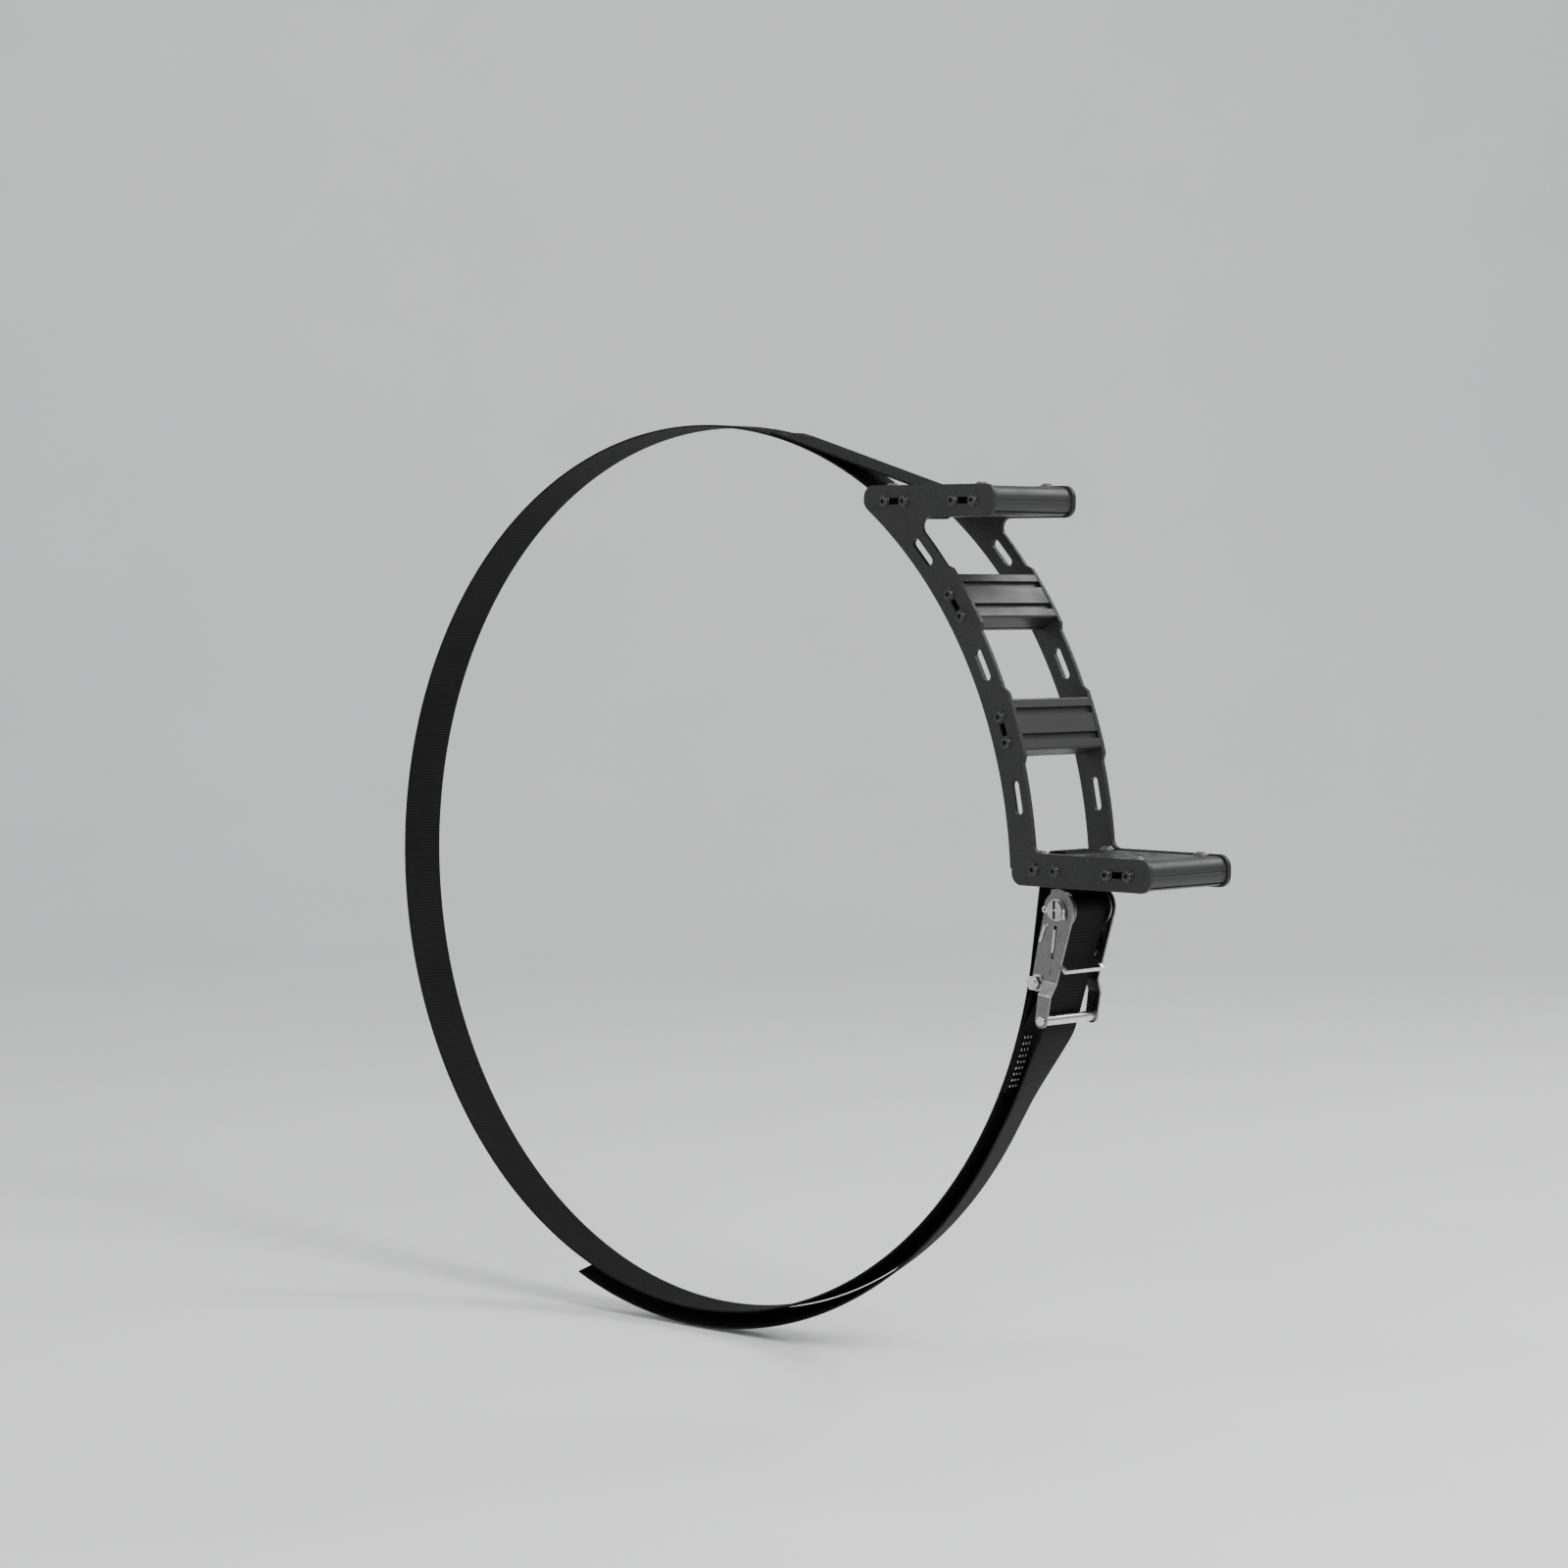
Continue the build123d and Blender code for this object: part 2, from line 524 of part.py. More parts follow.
def chamber_guides(front, middle_z, screws):
    """Guides round a tread's rear chamber: slot bottom, slot top, rear top, rear bottom."""
    spare = HALF_T + LAYER_GAP
    edge_r = SLOT_LIP_R + spare
    slot_x = (screws[0][0] + screws[1][0]) / 2 - STRAP_SLOT_WIDTH / 2
    rear_x = front - ARM_LENGTH + TREAD_REAR_SETBACK + TREAD_CORNER_R
    low, high = middle_z - TREAD_HEIGHT / 2, middle_z + TREAD_HEIGHT / 2
    return {
        "slot_low": (slot_x - SLOT_LIP_R, low + SLOT_LIP_R, edge_r),
        "slot_high": (slot_x - SLOT_LIP_R, high - SLOT_LIP_R, edge_r),
        "rear_high": (rear_x, high - TREAD_CORNER_R, TREAD_CORNER_R + spare),
        "rear_low": (rear_x, low + TREAD_CORNER_R, TREAD_CORNER_R + spare),
    }


LOW = chamber_guides(LOWER_ARM_FRONT, LOWER_ARM_Z, LOWER_SCREWS)
HIGH = chamber_guides(UPPER_ARM_FRONT, UPPER_ARM_Z, UPPER_SCREWS)
MAIN_R = TIRE_R + HALF_T
LAYER = STRAP_T + LAYER_GAP


def main_strap():
    """From the mandrel, round the lower tread's chamber and the tire, then round the upper tread's."""
    guides = [
        (MANDREL_X, MANDREL_Z, ROLL_R, -1),
        LOW["slot_low"] + (1,),
        LOW["slot_high"] + (1,),
        LOW["rear_high"] + (1,),
        (0, 0, MAIN_R, -1),
        HIGH["rear_low"] + (1,),
        HIGH["slot_low"] + (1,),
        HIGH["slot_high"] + (1,),
        (0, 0, MAIN_R + LAYER, 1),
    ]
    return belt(guides, last=polar(MAIN_R + LAYER, LOOP_SEWN_ANGLE))


save("main_strap", webbing(main_strap()))

# The short loop that holds the anchor bolt. Both of its legs lie on the strap and are sewn to it.
BOLT_X = MANDREL_X - BASE_LENGTH * math.sin(math.radians(BASE_ANGLE))
BOLT_Z = MANDREL_Z - BASE_LENGTH * math.cos(math.radians(BASE_ANGLE))


def anchor_loop():
    inner_r, outer_r = MAIN_R + LAYER, MAIN_R + 2 * LAYER
    fold_x, fold_z = polar(outer_r + ANCHOR_FOLD_R + LAYER_GAP / 2, ANCHOR_FOLD_ANGLE)
    guides = [
        (0, 0, inner_r, 1),
        (BOLT_X, BOLT_Z, SPACER_R + HALF_T + LAYER_GAP, -1),
        (fold_x, fold_z, ANCHOR_FOLD_R, 1),
        (0, 0, outer_r, -1),
    ]
    first = polar(inner_r, ANCHOR_SEWN_ANGLE)
    last = polar(outer_r, ANCHOR_SEWN_ANGLE)
    return belt(guides, first, last)


save("anchor_loop", webbing(anchor_loop()))


# ---- ratchet: shared places ---------------------------------------------------------------------------
# Handle and base pieces are drawn with the mandrel's axis at the origin and the piece hanging straight
# down, then turned and moved into place.
HANDLE = Pos(MANDREL_X, 0, MANDREL_Z) * Rot(0, HANDLE_ANGLE, 0)
BASE = Pos(MANDREL_X, 0, MANDREL_Z) * Rot(0, BASE_ANGLE, 0)
MANDREL = Pos(MANDREL_X, 0, MANDREL_Z)
BORE_R = MANDREL_R + SHAFT_CLEARANCE


def hanging(place):
    """The point of an outline that is this far outboard and this far down."""
    outboard, down = place
    return outboard, -down


def handle_point(along, outboard):
    """X and Z of a point given along the handle and outboard of its centre line."""
    turn = math.radians(HANDLE_ANGLE)
    x = MANDREL_X - along * math.sin(turn) + outboard * math.cos(turn)
    z = MANDREL_Z - along * math.cos(turn) - outboard * math.sin(turn)
    return x, z


# ---- loose tail ---------------------------------------------------------------------------------------
def tail_in_handle():
    """From the mandrel's outboard side to just under the grip tube, between the handle plates."""
    roll = (MANDREL_X, MANDREL_Z, ROLL_R, -1)
    grip = handle_point(HANDLE_LENGTH, 0) + (GRIP_R + HALF_T + BODY_GAP, 1)
    return tangent(roll, grip)


def tail_on_tire(start):
    """From under the grip tube onto the strap, and round the tire to the tail's free end."""
    tail_r = MAIN_R + TAIL_LIFT
    guides = [start + (0.0, 1), (0, 0, tail_r, -1)]
    return belt(guides, last=polar(tail_r, TAIL_END_ANGLE))


tail_start, tail_end = tail_in_handle()
save("tail_in_handle", webbing([Line(tail_start, tail_end)]))
save("tail_on_tire", webbing(tail_on_tire((tail_end[0], tail_end[1] - TAIL_NODE_GAP))))


# ---- mandrel ------------------------------------------------------------------------------------------
MANDREL_REACH = HANDLE_OUT + MANDREL_END
mandrel_bar = rod(MANDREL_R, -MANDREL_REACH, MANDREL_REACH)
mandrel_bar -= Box(MANDREL_SLOT, 2 * MANDREL_REACH, 2 * MANDREL_R)
WASHER_Y = HANDLE_OUT + BODY_GAP
PIN_Y = WASHER_Y + MANDREL_WASHER_T + LAYER_GAP + PIN_R
for side in (-1, 1):
    mandrel_bar -= Pos(0, side * PIN_Y, 0) * Rot(0, 90, 0) * Cylinder(PIN_R + SHAFT_CLEARANCE, 4 * MANDREL_R)
halves = mandrel_bar.solids().sort_by(Axis.X)
save("mandrel_half_inboard", MANDREL * halves[0])
save("mandrel_half_outboard", MANDREL * halves[1])


def ratchet_wheel():
    """One toothed wheel, whose web fills the mandrel's slot."""
    pitch = 360 / WHEEL_TEETH
    points = []
    for tooth in range(WHEEL_TEETH):
        steep = WHEEL_STEEP_ANGLE + tooth * pitch
        points.append(polar(WHEEL_ROOT_R, steep))
        points.append(polar(WHEEL_TIP_R, steep + TOOTH_TIP_START))
        points.append(polar(WHEEL_TIP_R, steep + TOOTH_TIP_END))
        points.append(polar(WHEEL_ROOT_R, steep + TOOTH_TOE))
    bore = Circle(BORE_R) - Rectangle(MANDREL_SLOT - 2 * SHAFT_CLEARANCE, 4 * MANDREL_R)
    return slab(outline(*points) - bore, WHEEL_IN, WHEEL_IN + WHEEL_T)


# A tooth gap faces the drive pawl: its nose comes down against the tooth's steep face.
NOSE_ANGLE = -90 - HANDLE_ANGLE + math.degrees(math.atan2(DRIVE_PAWL_V, WHEEL_TIP_R))
WHEEL_STEEP_ANGLE = NOSE_ANGLE + NOSE_TO_STEEP_FACE
wheel = ratchet_wheel()
save("ratchet_wheels", MANDREL * Compound(children=[wheel, mirrored(wheel)]))


def wound_webbing():
    """The turns of webbing on the mandrel, with the end that lies in its slot."""
    ring = Circle(WRAP_R) - Circle(MANDREL_R + LAYER_GAP)
    tongue = Rectangle(MANDREL_SLOT - 2 * LAYER_GAP, MANDREL_R + WRAP_R)
    return slab(ring + tongue, -STRAP_WIDTH / 2, STRAP_WIDTH / 2)


save("wound_webbing", MANDREL * wound_webbing())


def mandrel_washer():
    """The thin washer between a handle plate and the mandrel's pin."""
    ring = Circle(MANDREL_R + MANDREL_WASHER_RIM) - Circle(BORE_R)
    return slab(ring, WASHER_Y, WASHER_Y + MANDREL_WASHER_T)


washer = mandrel_washer()
save("mandrel_washers", MANDREL * Compound(children=[washer, mirrored(washer)]))


def cotter_pin(y):
    """A split pin through the mandrel's end, with its eye inboard and its leg bent down outboard."""
    bend_x = MANDREL_R + PIN_STICKS_OUT
    shank = Pos(0, y, 0) * Rot(0, 90, 0) * Cylinder(PIN_R, 2 * bend_x)
    eye = Pos(-bend_x - PIN_EYE_R, y, 0) * Rot(90, 0, 0) * Torus(PIN_EYE_R, PIN_R * 0.8)
    leg = Pos(bend_x, y, PIN_R - PIN_LEG_LENGTH / 2) * Cylinder(PIN_R, PIN_LEG_LENGTH)
    return shank + eye + leg


save("cotter_pins", MANDREL * Compound(children=[cotter_pin(side * PIN_Y) for side in (-1, 1)]))


# ---- ratchet base -------------------------------------------------------------------------------------
def base_plate():
    """The outer base plate: a round head on the mandrel, narrowing to the anchor bolt."""
    neck = outline(
        (0, 0),
        hanging(BASE_FRONT_NECK),
        (BASE_END_R, -BASE_LENGTH),
        (-BASE_END_R, -BASE_LENGTH),
        hanging(BASE_REAR_NECK),
        hanging(BASE_REAR_SHOULDER),
    )
    shape = Circle(BASE_HEAD_R) + neck + Pos(0, -BASE_LENGTH) * Circle(BASE_END_R)
    shape -= Circle(BORE_R)
    shape -= Pos(0, -BASE_LENGTH) * Circle(ANCHOR_BOLT_R + SHAFT_CLEARANCE)
    slot_low = LOCK_PAWL_LOWEST + BODY_GAP
    slot_high = LOCK_PAWL_START - LOCK_TRAVEL_IN - BODY_GAP
    slot = Rectangle(LOCK_PAWL_T + 2 * BODY_GAP, slot_low - slot_high)
    shape -= Pos(LOCK_PAWL_V, -(slot_low + slot_high) / 2) * slot
    return slab(shape, -BASE_GAP / 2 - BASE_T, -BASE_GAP / 2)


# The locking pawl's tabs start just outside the handle's round head.
LOCK_INNER_FACE = abs(LOCK_PAWL_V) - LOCK_PAWL_T / 2
LOCK_PAWL_START = math.sqrt((HANDLE_HEAD_R + PAWL_CLEARANCE) ** 2 - LOCK_INNER_FACE**2)
LOCK_PAWL_LOWEST = LOCK_PAWL_START + LOCK_PAWL_LENGTH + LOCK_TRAVEL_OUT
LOCK_NOSE_START = math.sqrt((WHEEL_TIP_R + PAWL_CLEARANCE) ** 2 - LOCK_INNER_FACE**2)
plate = BASE * base_plate()
save("base_plate_outer", plate)
save("base_plate_inner", mirrored(plate))


def locking_pawl():
    """A flat pawl in the base plates' slots, whose noses stop just outside the wheels."""
    reach = HANDLE_OUT + PAWL_TAB_PROUD
    middle = LOCK_PAWL_START + LOCK_PAWL_LENGTH / 2
    bar = Pos(LOCK_PAWL_V, 0, -middle) * Box(LOCK_PAWL_T, 2 * reach, LOCK_PAWL_LENGTH)
    nose_length = LOCK_PAWL_START - LOCK_NOSE_START
    for side in (-1, 1):
        y = side * (WHEEL_IN + WHEEL_T / 2)
        nose = Box(LOCK_NOSE_T, WHEEL_T, nose_length)
        nose_v = LOCK_PAWL_V + (LOCK_PAWL_T - LOCK_NOSE_T) / 2
        bar += Pos(nose_v, y, -LOCK_PAWL_START + nose_length / 2) * nose
    notch_depth = LOCK_PAWL_LENGTH / 2
    notch = Box(2 * LOCK_PAWL_T, 4 * SPRING_COIL_R, 2 * notch_depth)
    return bar - Pos(LOCK_PAWL_V, 0, -LOCK_PAWL_START - LOCK_PAWL_LENGTH) * notch


def coil_spring(length):
    """A compression spring along Z, with its top end at the origin."""
    helix = Helix(length / SPRING_TURNS, length, SPRING_COIL_R)
    wire = sweep(Plane(helix @ 0, z_dir=helix % 0) * Circle(SPRING_WIRE_R), path=helix)
    return Pos(0, 0, -length) * wire


save("locking_pawl", BASE * locking_pawl())
LOCK_SPRING_TOP = LOCK_PAWL_START + LOCK_PAWL_LENGTH / 2 + LOCK_TRAVEL_OUT + SPRING_END_GAP
LOCK_SPRING_BOTTOM = BASE_LENGTH - LOCK_PERCH_FROM_BOLT
lock_spring = Pos(LOCK_PAWL_V, 0, -LOCK_SPRING_TOP) * coil_spring(LOCK_SPRING_BOTTOM - LOCK_SPRING_TOP)
save("locking_spring", BASE * lock_spring)


def spring_perch(along, outboard, half_width):
    """A cross bar that a pawl's spring stands on."""
    return Pos(outboard, 0, -along) * Box(PERCH_T, 2 * half_width, PERCH_DEPTH)


perch_u = LOCK_SPRING_BOTTOM + PERCH_DEPTH / 2 + SPRING_WIRE_R
save("base_spring_perch", BASE * spring_perch(perch_u, LOCK_PAWL_V, BASE_GAP / 2))

# Anchor bolt, with a spacer tube between the base plates and a washer and nut outside them.
SEAT = BASE_GAP / 2 + BASE_T
bolt = rod(ANCHOR_BOLT_R, -SEAT - WASHER_T - NUT_H - BOLT_TIP, SEAT, BOLT_X, BOLT_Z)
bolt_head = rod(NUT_ACROSS_CORNERS_R, SEAT, SEAT + BOLT_HEAD_H, BOLT_X, BOLT_Z)
save("anchor_bolt", bolt + fillet(bolt_head.edges().sort_by(Axis.Y)[-1], BOLT_HEAD_FILLET))
spacer = rod(SPACER_R, -BASE_GAP / 2, BASE_GAP / 2, BOLT_X, BOLT_Z)
save("anchor_spacer", spacer - rod(ANCHOR_BOLT_R + SHAFT_CLEARANCE, -BASE_GAP, BASE_GAP, BOLT_X, BOLT_Z))
bolt_hole = rod(ANCHOR_BOLT_R + SHAFT_CLEARANCE, -2 * SEAT, 0, BOLT_X, BOLT_Z)
washer = rod(WASHER_R, -SEAT - WASHER_T, -SEAT, BOLT_X, BOLT_Z)
save("anchor_washer", washer - bolt_hole)
nut_outline = Pos(BOLT_X, BOLT_Z) * RegularPolygon(NUT_ACROSS_CORNERS_R, 6)
nut = slab(nut_outline, -SEAT - WASHER_T - NUT_H, -SEAT - WASHER_T)
nut &= rod(NUT_ACROSS_CORNERS_R - NUT_CORNER_TRIM, -2 * SEAT, 0, BOLT_X, BOLT_Z)
save("anchor_nut", nut - bolt_hole)


# ---- ratchet handle -----------------------------------------------------------------------------------
def handle_plate():
    """The outer handle plate: a round head, a rear ear, a taper, an outward jog and a narrow grip end."""
    shape = Circle(HANDLE_HEAD_R) + Pos(0, -HANDLE_LENGTH) * Circle(HANDLE_END_R)
    shape += outline(
        hanging(HANDLE_FRONT_SHOULDER),
        hanging(HANDLE_FRONT_WAIST),
        (HANDLE_END_R, -HANDLE_LENGTH),
        (-HANDLE_END_R, -HANDLE_LENGTH),
        hanging(HANDLE_REAR_WAIST),
        hanging(HANDLE_EAR),
        hanging(HANDLE_REAR_SHOULDER),
    )
    beside_pawl = LOCK_PAWL_V + LOCK_PAWL_T / 2 + PAWL_CLEARANCE
    under_pawl = LOCK_PAWL_LOWEST + PAWL_CLEARANCE
    far = 2 * HANDLE_HEAD_R
    cam = outline((0, 0), (-far, far), (-far, -under_pawl), (beside_pawl, -under_pawl), (beside_pawl, 0))
    shape -= Rot(0, 0, HANDLE_ANGLE - BASE_ANGLE) * (cam - Circle(HANDLE_CAM_R))
    shape -= Circle(BORE_R)
    shape -= Pos(0, -HANDLE_LENGTH) * Circle(GRIP_R - GRIP_WALL - SHAFT_CLEARANCE)
    slot_high = DRIVE_TAB_START - DRIVE_TRAVEL_IN - BODY_GAP
    slot_low = DRIVE_TAB_START + DRIVE_PAWL_TAB_LENGTH + DRIVE_TRAVEL_OUT + BODY_GAP
    slot = Rectangle(DRIVE_PAWL_T + 2 * BODY_GAP, slot_low - slot_high)
    shape -= Pos(DRIVE_PAWL_V, -(slot_low + slot_high) / 2) * slot
    perch_hole = Rectangle(PERCH_T + 2 * SHAFT_CLEARANCE, PERCH_DEPTH + 2 * SHAFT_CLEARANCE)
    shape -= Pos(SPRING_BAR_V, -SPRING_BAR_U) * perch_hole
    middle = (HANDLE_IN + HANDLE_OUT) / 2
    bend = FilletPolyline(
        (-middle, 2 * HANDLE_HEAD_R),
        (-middle, -JOG_START),
        (-middle - HANDLE_JOG, -JOG_END),
        (-middle - HANDLE_JOG, -HANDLE_LENGTH - 2 * HANDLE_END_R),
        radius=HANDLE_JOG_BEND_R,
    )
    strip = extrude(Plane.YZ * trace(bend, line_width=HANDLE_T), amount=2 * HANDLE_HEAD_R, both=True)
    return strip & slab(shape, -2 * HANDLE_OUT, 0)


DRIVE_TAB_START = WHEEL_TIP_R + PAWL_CLEARANCE + BODY_GAP
plate = HANDLE * handle_plate()
save("handle_plate_outer", plate)
save("handle_plate_inner", mirrored(plate))

GRIP_REACH = HANDLE_IN + HANDLE_JOG
grip_rod_r = GRIP_R - GRIP_WALL - 2 * SHAFT_CLEARANCE
grip = rod(GRIP_R, -GRIP_REACH, GRIP_REACH) - rod(GRIP_R - GRIP_WALL, -GRIP_REACH, GRIP_REACH)
save("grip_tube", HANDLE * Pos(0, 0, -HANDLE_LENGTH) * grip)
rod_reach = HANDLE_OUT + HANDLE_JOG
grip_rod = rod(grip_rod_r, -rod_reach, rod_reach)
rivet = rod(GRIP_ROD_HEAD_R, -rod_reach - GRIP_ROD_HEAD_H, -rod_reach)
rivet = fillet(rivet.edges().sort_by(Axis.Y)[0], GRIP_ROD_HEAD_FILLET)
grip_rod += rivet + mirrored(rivet)
save("grip_rivet", HANDLE * Pos(0, 0, -HANDLE_LENGTH) * grip_rod)


def drive_pawl():
    """A flat pawl in the handle plates' slots, with side arms that carry the finger pull."""
    reach = HANDLE_OUT + PAWL_TAB_PROUD
    inside = HANDLE_IN - BODY_GAP
    nose_start = WHEEL_TIP_R + PAWL_CLEARANCE
    tab_middle = DRIVE_TAB_START + DRIVE_PAWL_TAB_LENGTH / 2
    tabs = Pos(DRIVE_PAWL_V, 0, -tab_middle) * Box(DRIVE_PAWL_T, 2 * reach, DRIVE_PAWL_TAB_LENGTH)
    body = Box(DRIVE_PAWL_T, 2 * inside, DRIVE_PAWL_END - nose_start)
    body = Pos(DRIVE_PAWL_V, 0, -(DRIVE_PAWL_END + nose_start) / 2) * body
    notch = Box(2 * DRIVE_PAWL_T, 4 * SPRING_COIL_R, 2 * DRIVE_NOTCH_DEPTH)
    notch = Pos(DRIVE_PAWL_V, 0, -DRIVE_PAWL_END) * notch
    window_half = BASE_GAP / 2 + BASE_T + BODY_GAP
    window = Pos(DRIVE_PAWL_V, 0, -nose_start) * Box(2 * DRIVE_PAWL_T, 2 * window_half, 2 * DRIVE_WINDOW)
    flat = tabs + body - notch - window
    side = FilletPolyline(
        (DRIVE_PAWL_V, -DRIVE_PAWL_END + PULL_BAR_SIZE),
        (DRIVE_PAWL_V, -DRIVE_PAWL_END),
        (PULL_BAR_V, -PULL_BAR_U),
        radius=PULL_ARM_BEND_R,
    )
    arm_width = inside - STRAP_WIDTH / 2 - BODY_GAP
    for y in (-inside, inside - arm_width):
        flat += slab(trace(side, line_width=DRIVE_PAWL_T), y, y + arm_width)
    bar = Pos(PULL_BAR_V, 0, -PULL_BAR_U) * Box(PULL_BAR_SIZE, 2 * inside, PULL_BAR_SIZE)
    return flat + fillet(bar.edges().filter_by(Axis.Y), PULL_BAR_EDGE_R)


save("drive_pawl", HANDLE * drive_pawl())
DRIVE_SPRING_TOP = DRIVE_PAWL_END - DRIVE_NOTCH_DEPTH + DRIVE_TRAVEL_OUT + SPRING_END_GAP
drive_spring_length = SPRING_BAR_U - PERCH_DEPTH / 2 - SPRING_WIRE_R - DRIVE_SPRING_TOP
drive_spring = Pos(SPRING_BAR_V, 0, -DRIVE_SPRING_TOP) * coil_spring(drive_spring_length)
save("drive_spring", HANDLE * drive_spring)
perch = spring_perch(SPRING_BAR_U, SPRING_BAR_V, HANDLE_OUT + PERCH_PROUD)
save("handle_spring_perch", HANDLE * perch)
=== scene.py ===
"""Looks of the strap-on tire ladder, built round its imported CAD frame.

Metres, in the row frame: the origin is the tire's axis at the ladder's mid-width, +X points away
from the tire through the ladder, +Y runs along the tire's axis, and +Z is up. The metal parts keep
their CAD shapes and get materials here. The webbing is modelled here rib by rib and replaces its
plain CAD bands.
"""
import json
import math
import bpy
import numpy as np
from mathutils import Matrix, Vector


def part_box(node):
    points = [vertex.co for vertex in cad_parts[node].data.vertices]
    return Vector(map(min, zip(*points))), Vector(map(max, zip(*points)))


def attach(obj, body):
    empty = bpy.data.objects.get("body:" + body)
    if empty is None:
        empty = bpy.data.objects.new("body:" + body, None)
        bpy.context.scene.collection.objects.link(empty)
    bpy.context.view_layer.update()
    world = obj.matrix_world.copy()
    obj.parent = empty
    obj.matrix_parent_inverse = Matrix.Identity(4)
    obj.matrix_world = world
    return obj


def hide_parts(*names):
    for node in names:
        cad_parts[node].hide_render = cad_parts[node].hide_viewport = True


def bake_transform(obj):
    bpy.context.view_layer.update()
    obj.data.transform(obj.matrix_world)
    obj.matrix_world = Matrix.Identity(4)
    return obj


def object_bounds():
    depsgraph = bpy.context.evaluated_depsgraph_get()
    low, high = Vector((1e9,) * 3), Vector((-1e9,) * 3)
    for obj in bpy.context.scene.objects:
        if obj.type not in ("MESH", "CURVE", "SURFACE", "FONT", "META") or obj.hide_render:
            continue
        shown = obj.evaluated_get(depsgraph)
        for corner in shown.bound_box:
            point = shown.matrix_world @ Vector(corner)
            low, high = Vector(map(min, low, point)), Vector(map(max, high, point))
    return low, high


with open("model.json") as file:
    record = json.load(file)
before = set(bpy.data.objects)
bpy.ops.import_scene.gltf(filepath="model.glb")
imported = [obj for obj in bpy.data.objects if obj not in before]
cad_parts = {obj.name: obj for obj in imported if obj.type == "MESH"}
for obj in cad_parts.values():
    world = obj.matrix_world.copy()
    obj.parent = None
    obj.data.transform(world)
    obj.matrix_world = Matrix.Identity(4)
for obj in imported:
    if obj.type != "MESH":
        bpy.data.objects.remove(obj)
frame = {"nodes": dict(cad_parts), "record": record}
cad_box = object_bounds()
record = frame["record"]
MM = 0.001


# ---- places read from the frame -----------------------------------------------------------------------
def joint_place(name):
    joint = next(j for j in record["behaviour"]["joints"] if j["name"] == name)
    return Vector(joint["pos_m"])


def middle(node):
    low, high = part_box(node)
    return (low + high) / 2


TIRE_R = next(m for m in record["mounts"] if m["name"] == "tire_seat")["dims"]["r_mm"] * MM
MANDREL = joint_place("handle_hinge")
BOLT = middle("anchor_spacer")
GRIP = middle("grip_tube")
GRIP_R = (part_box("grip_tube")[1].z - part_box("grip_tube")[0].z) / 2
SPACER_R = (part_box("anchor_spacer")[1].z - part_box("anchor_spacer")[0].z) / 2
STRAP_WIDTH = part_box("main_strap")[1].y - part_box("main_strap")[0].y
ROLL_R = (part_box("wound_webbing")[1].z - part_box("wound_webbing")[0].z) / 2


# ---- camera, floor and light --------------------------------------------------------------------------
CAMERA_PLACE = Vector((2.96791, -3.00768, 0.29685))
CAMERA_RIGHT = Vector((0.72352642, 0.69028755, 0.00355179))
CAMERA_UP = Vector((-0.03673339, 0.03336315, 0.99876802))
CAMERA_LENS = 94.16             # mm
CAMERA_SENSOR = 36.0            # mm


LIGHT_AIM = Vector((0.2, 0.0, 0.0))
LIGHTS = (                      # name, place, size in metres, power in watts
    ("key_light", (3.4, -0.6, 2.4), 1.8, 150.0),
    ("fill_light", (-1.6, -3.4, 1.6), 2.2, 40.0),
    ("back_light", (1.2, 3.2, 2.8), 2.0, 90.0),
)
FLOOR_DROP = 12.0 * MM          # from the CAD's lowest point to the floor
SKY_COLOUR = (0.9, 0.92, 0.95, 1.0)
SKY_STRENGTH = 0.5


def make_camera():
    data = bpy.data.cameras.new("camera")
    data.sensor_width = CAMERA_SENSOR
    data.lens = CAMERA_LENS
    camera = bpy.data.objects.new("camera", data)
    back = CAMERA_RIGHT.cross(CAMERA_UP).normalized()
    axes = Matrix((CAMERA_RIGHT, CAMERA_UP, back)).transposed()
    camera.matrix_world = Matrix.Translation(CAMERA_PLACE) @ axes.to_4x4()
    bpy.context.collection.objects.link(camera)
    bpy.context.scene.camera = camera


def area_light(name, place, size, energy):
    data = bpy.data.lights.new(name, "AREA")
    data.shape = "DISK"
    data.size = size
    data.energy = energy
    light = bpy.data.objects.new(name, data)
    light.location = place
    light.rotation_euler = (LIGHT_AIM - Vector(place)).to_track_quat("-Z", "Y").to_euler()
    bpy.context.collection.objects.link(light)


def make_world():
    world = bpy.data.worlds.new("studio")
    world.use_nodes = True
    background = world.node_tree.nodes["Background"]
    background.inputs["Color"].default_value = SKY_COLOUR
    background.inputs["Strength"].default_value = SKY_STRENGTH
    bpy.context.scene.world = world


def make_stage(floor_z):
    """A pale floor that curves up into a backdrop well behind the object."""
    half_width, near, bend_start, bend_r, height = 9.0, -6.0, 4.0, 2.0, 7.0
    profile = [(near, 0.0), (bend_start, 0.0)]
    steps = 16
    for step in range(1, steps + 1):
        turn = math.pi / 2 * step / steps
        profile.append((bend_start + bend_r * math.sin(turn), bend_r * (1 - math.cos(turn))))
    profile.append((bend_start + bend_r, height))
    view = Vector((-CAMERA_PLACE.x, -CAMERA_PLACE.y, 0.0)).normalized()
    across = Vector((-view.y, view.x, 0.0))
    corners, faces = [], []
    for along, up in profile:
        for side in (-half_width, half_width):
            corners.append(view * along + across * side + Vector((0, 0, floor_z + up)))
    for row in range(len(profile) - 1):
        first = 2 * row
        faces.append((first, first + 1, first + 3, first + 2))
    mesh = bpy.data.meshes.new("floor")
    mesh.from_pydata(corners, [], faces)
    for polygon in mesh.polygons:
        polygon.use_smooth = True
    floor = bpy.data.objects.new("floor", mesh)
    bpy.context.collection.objects.link(floor)
    return floor


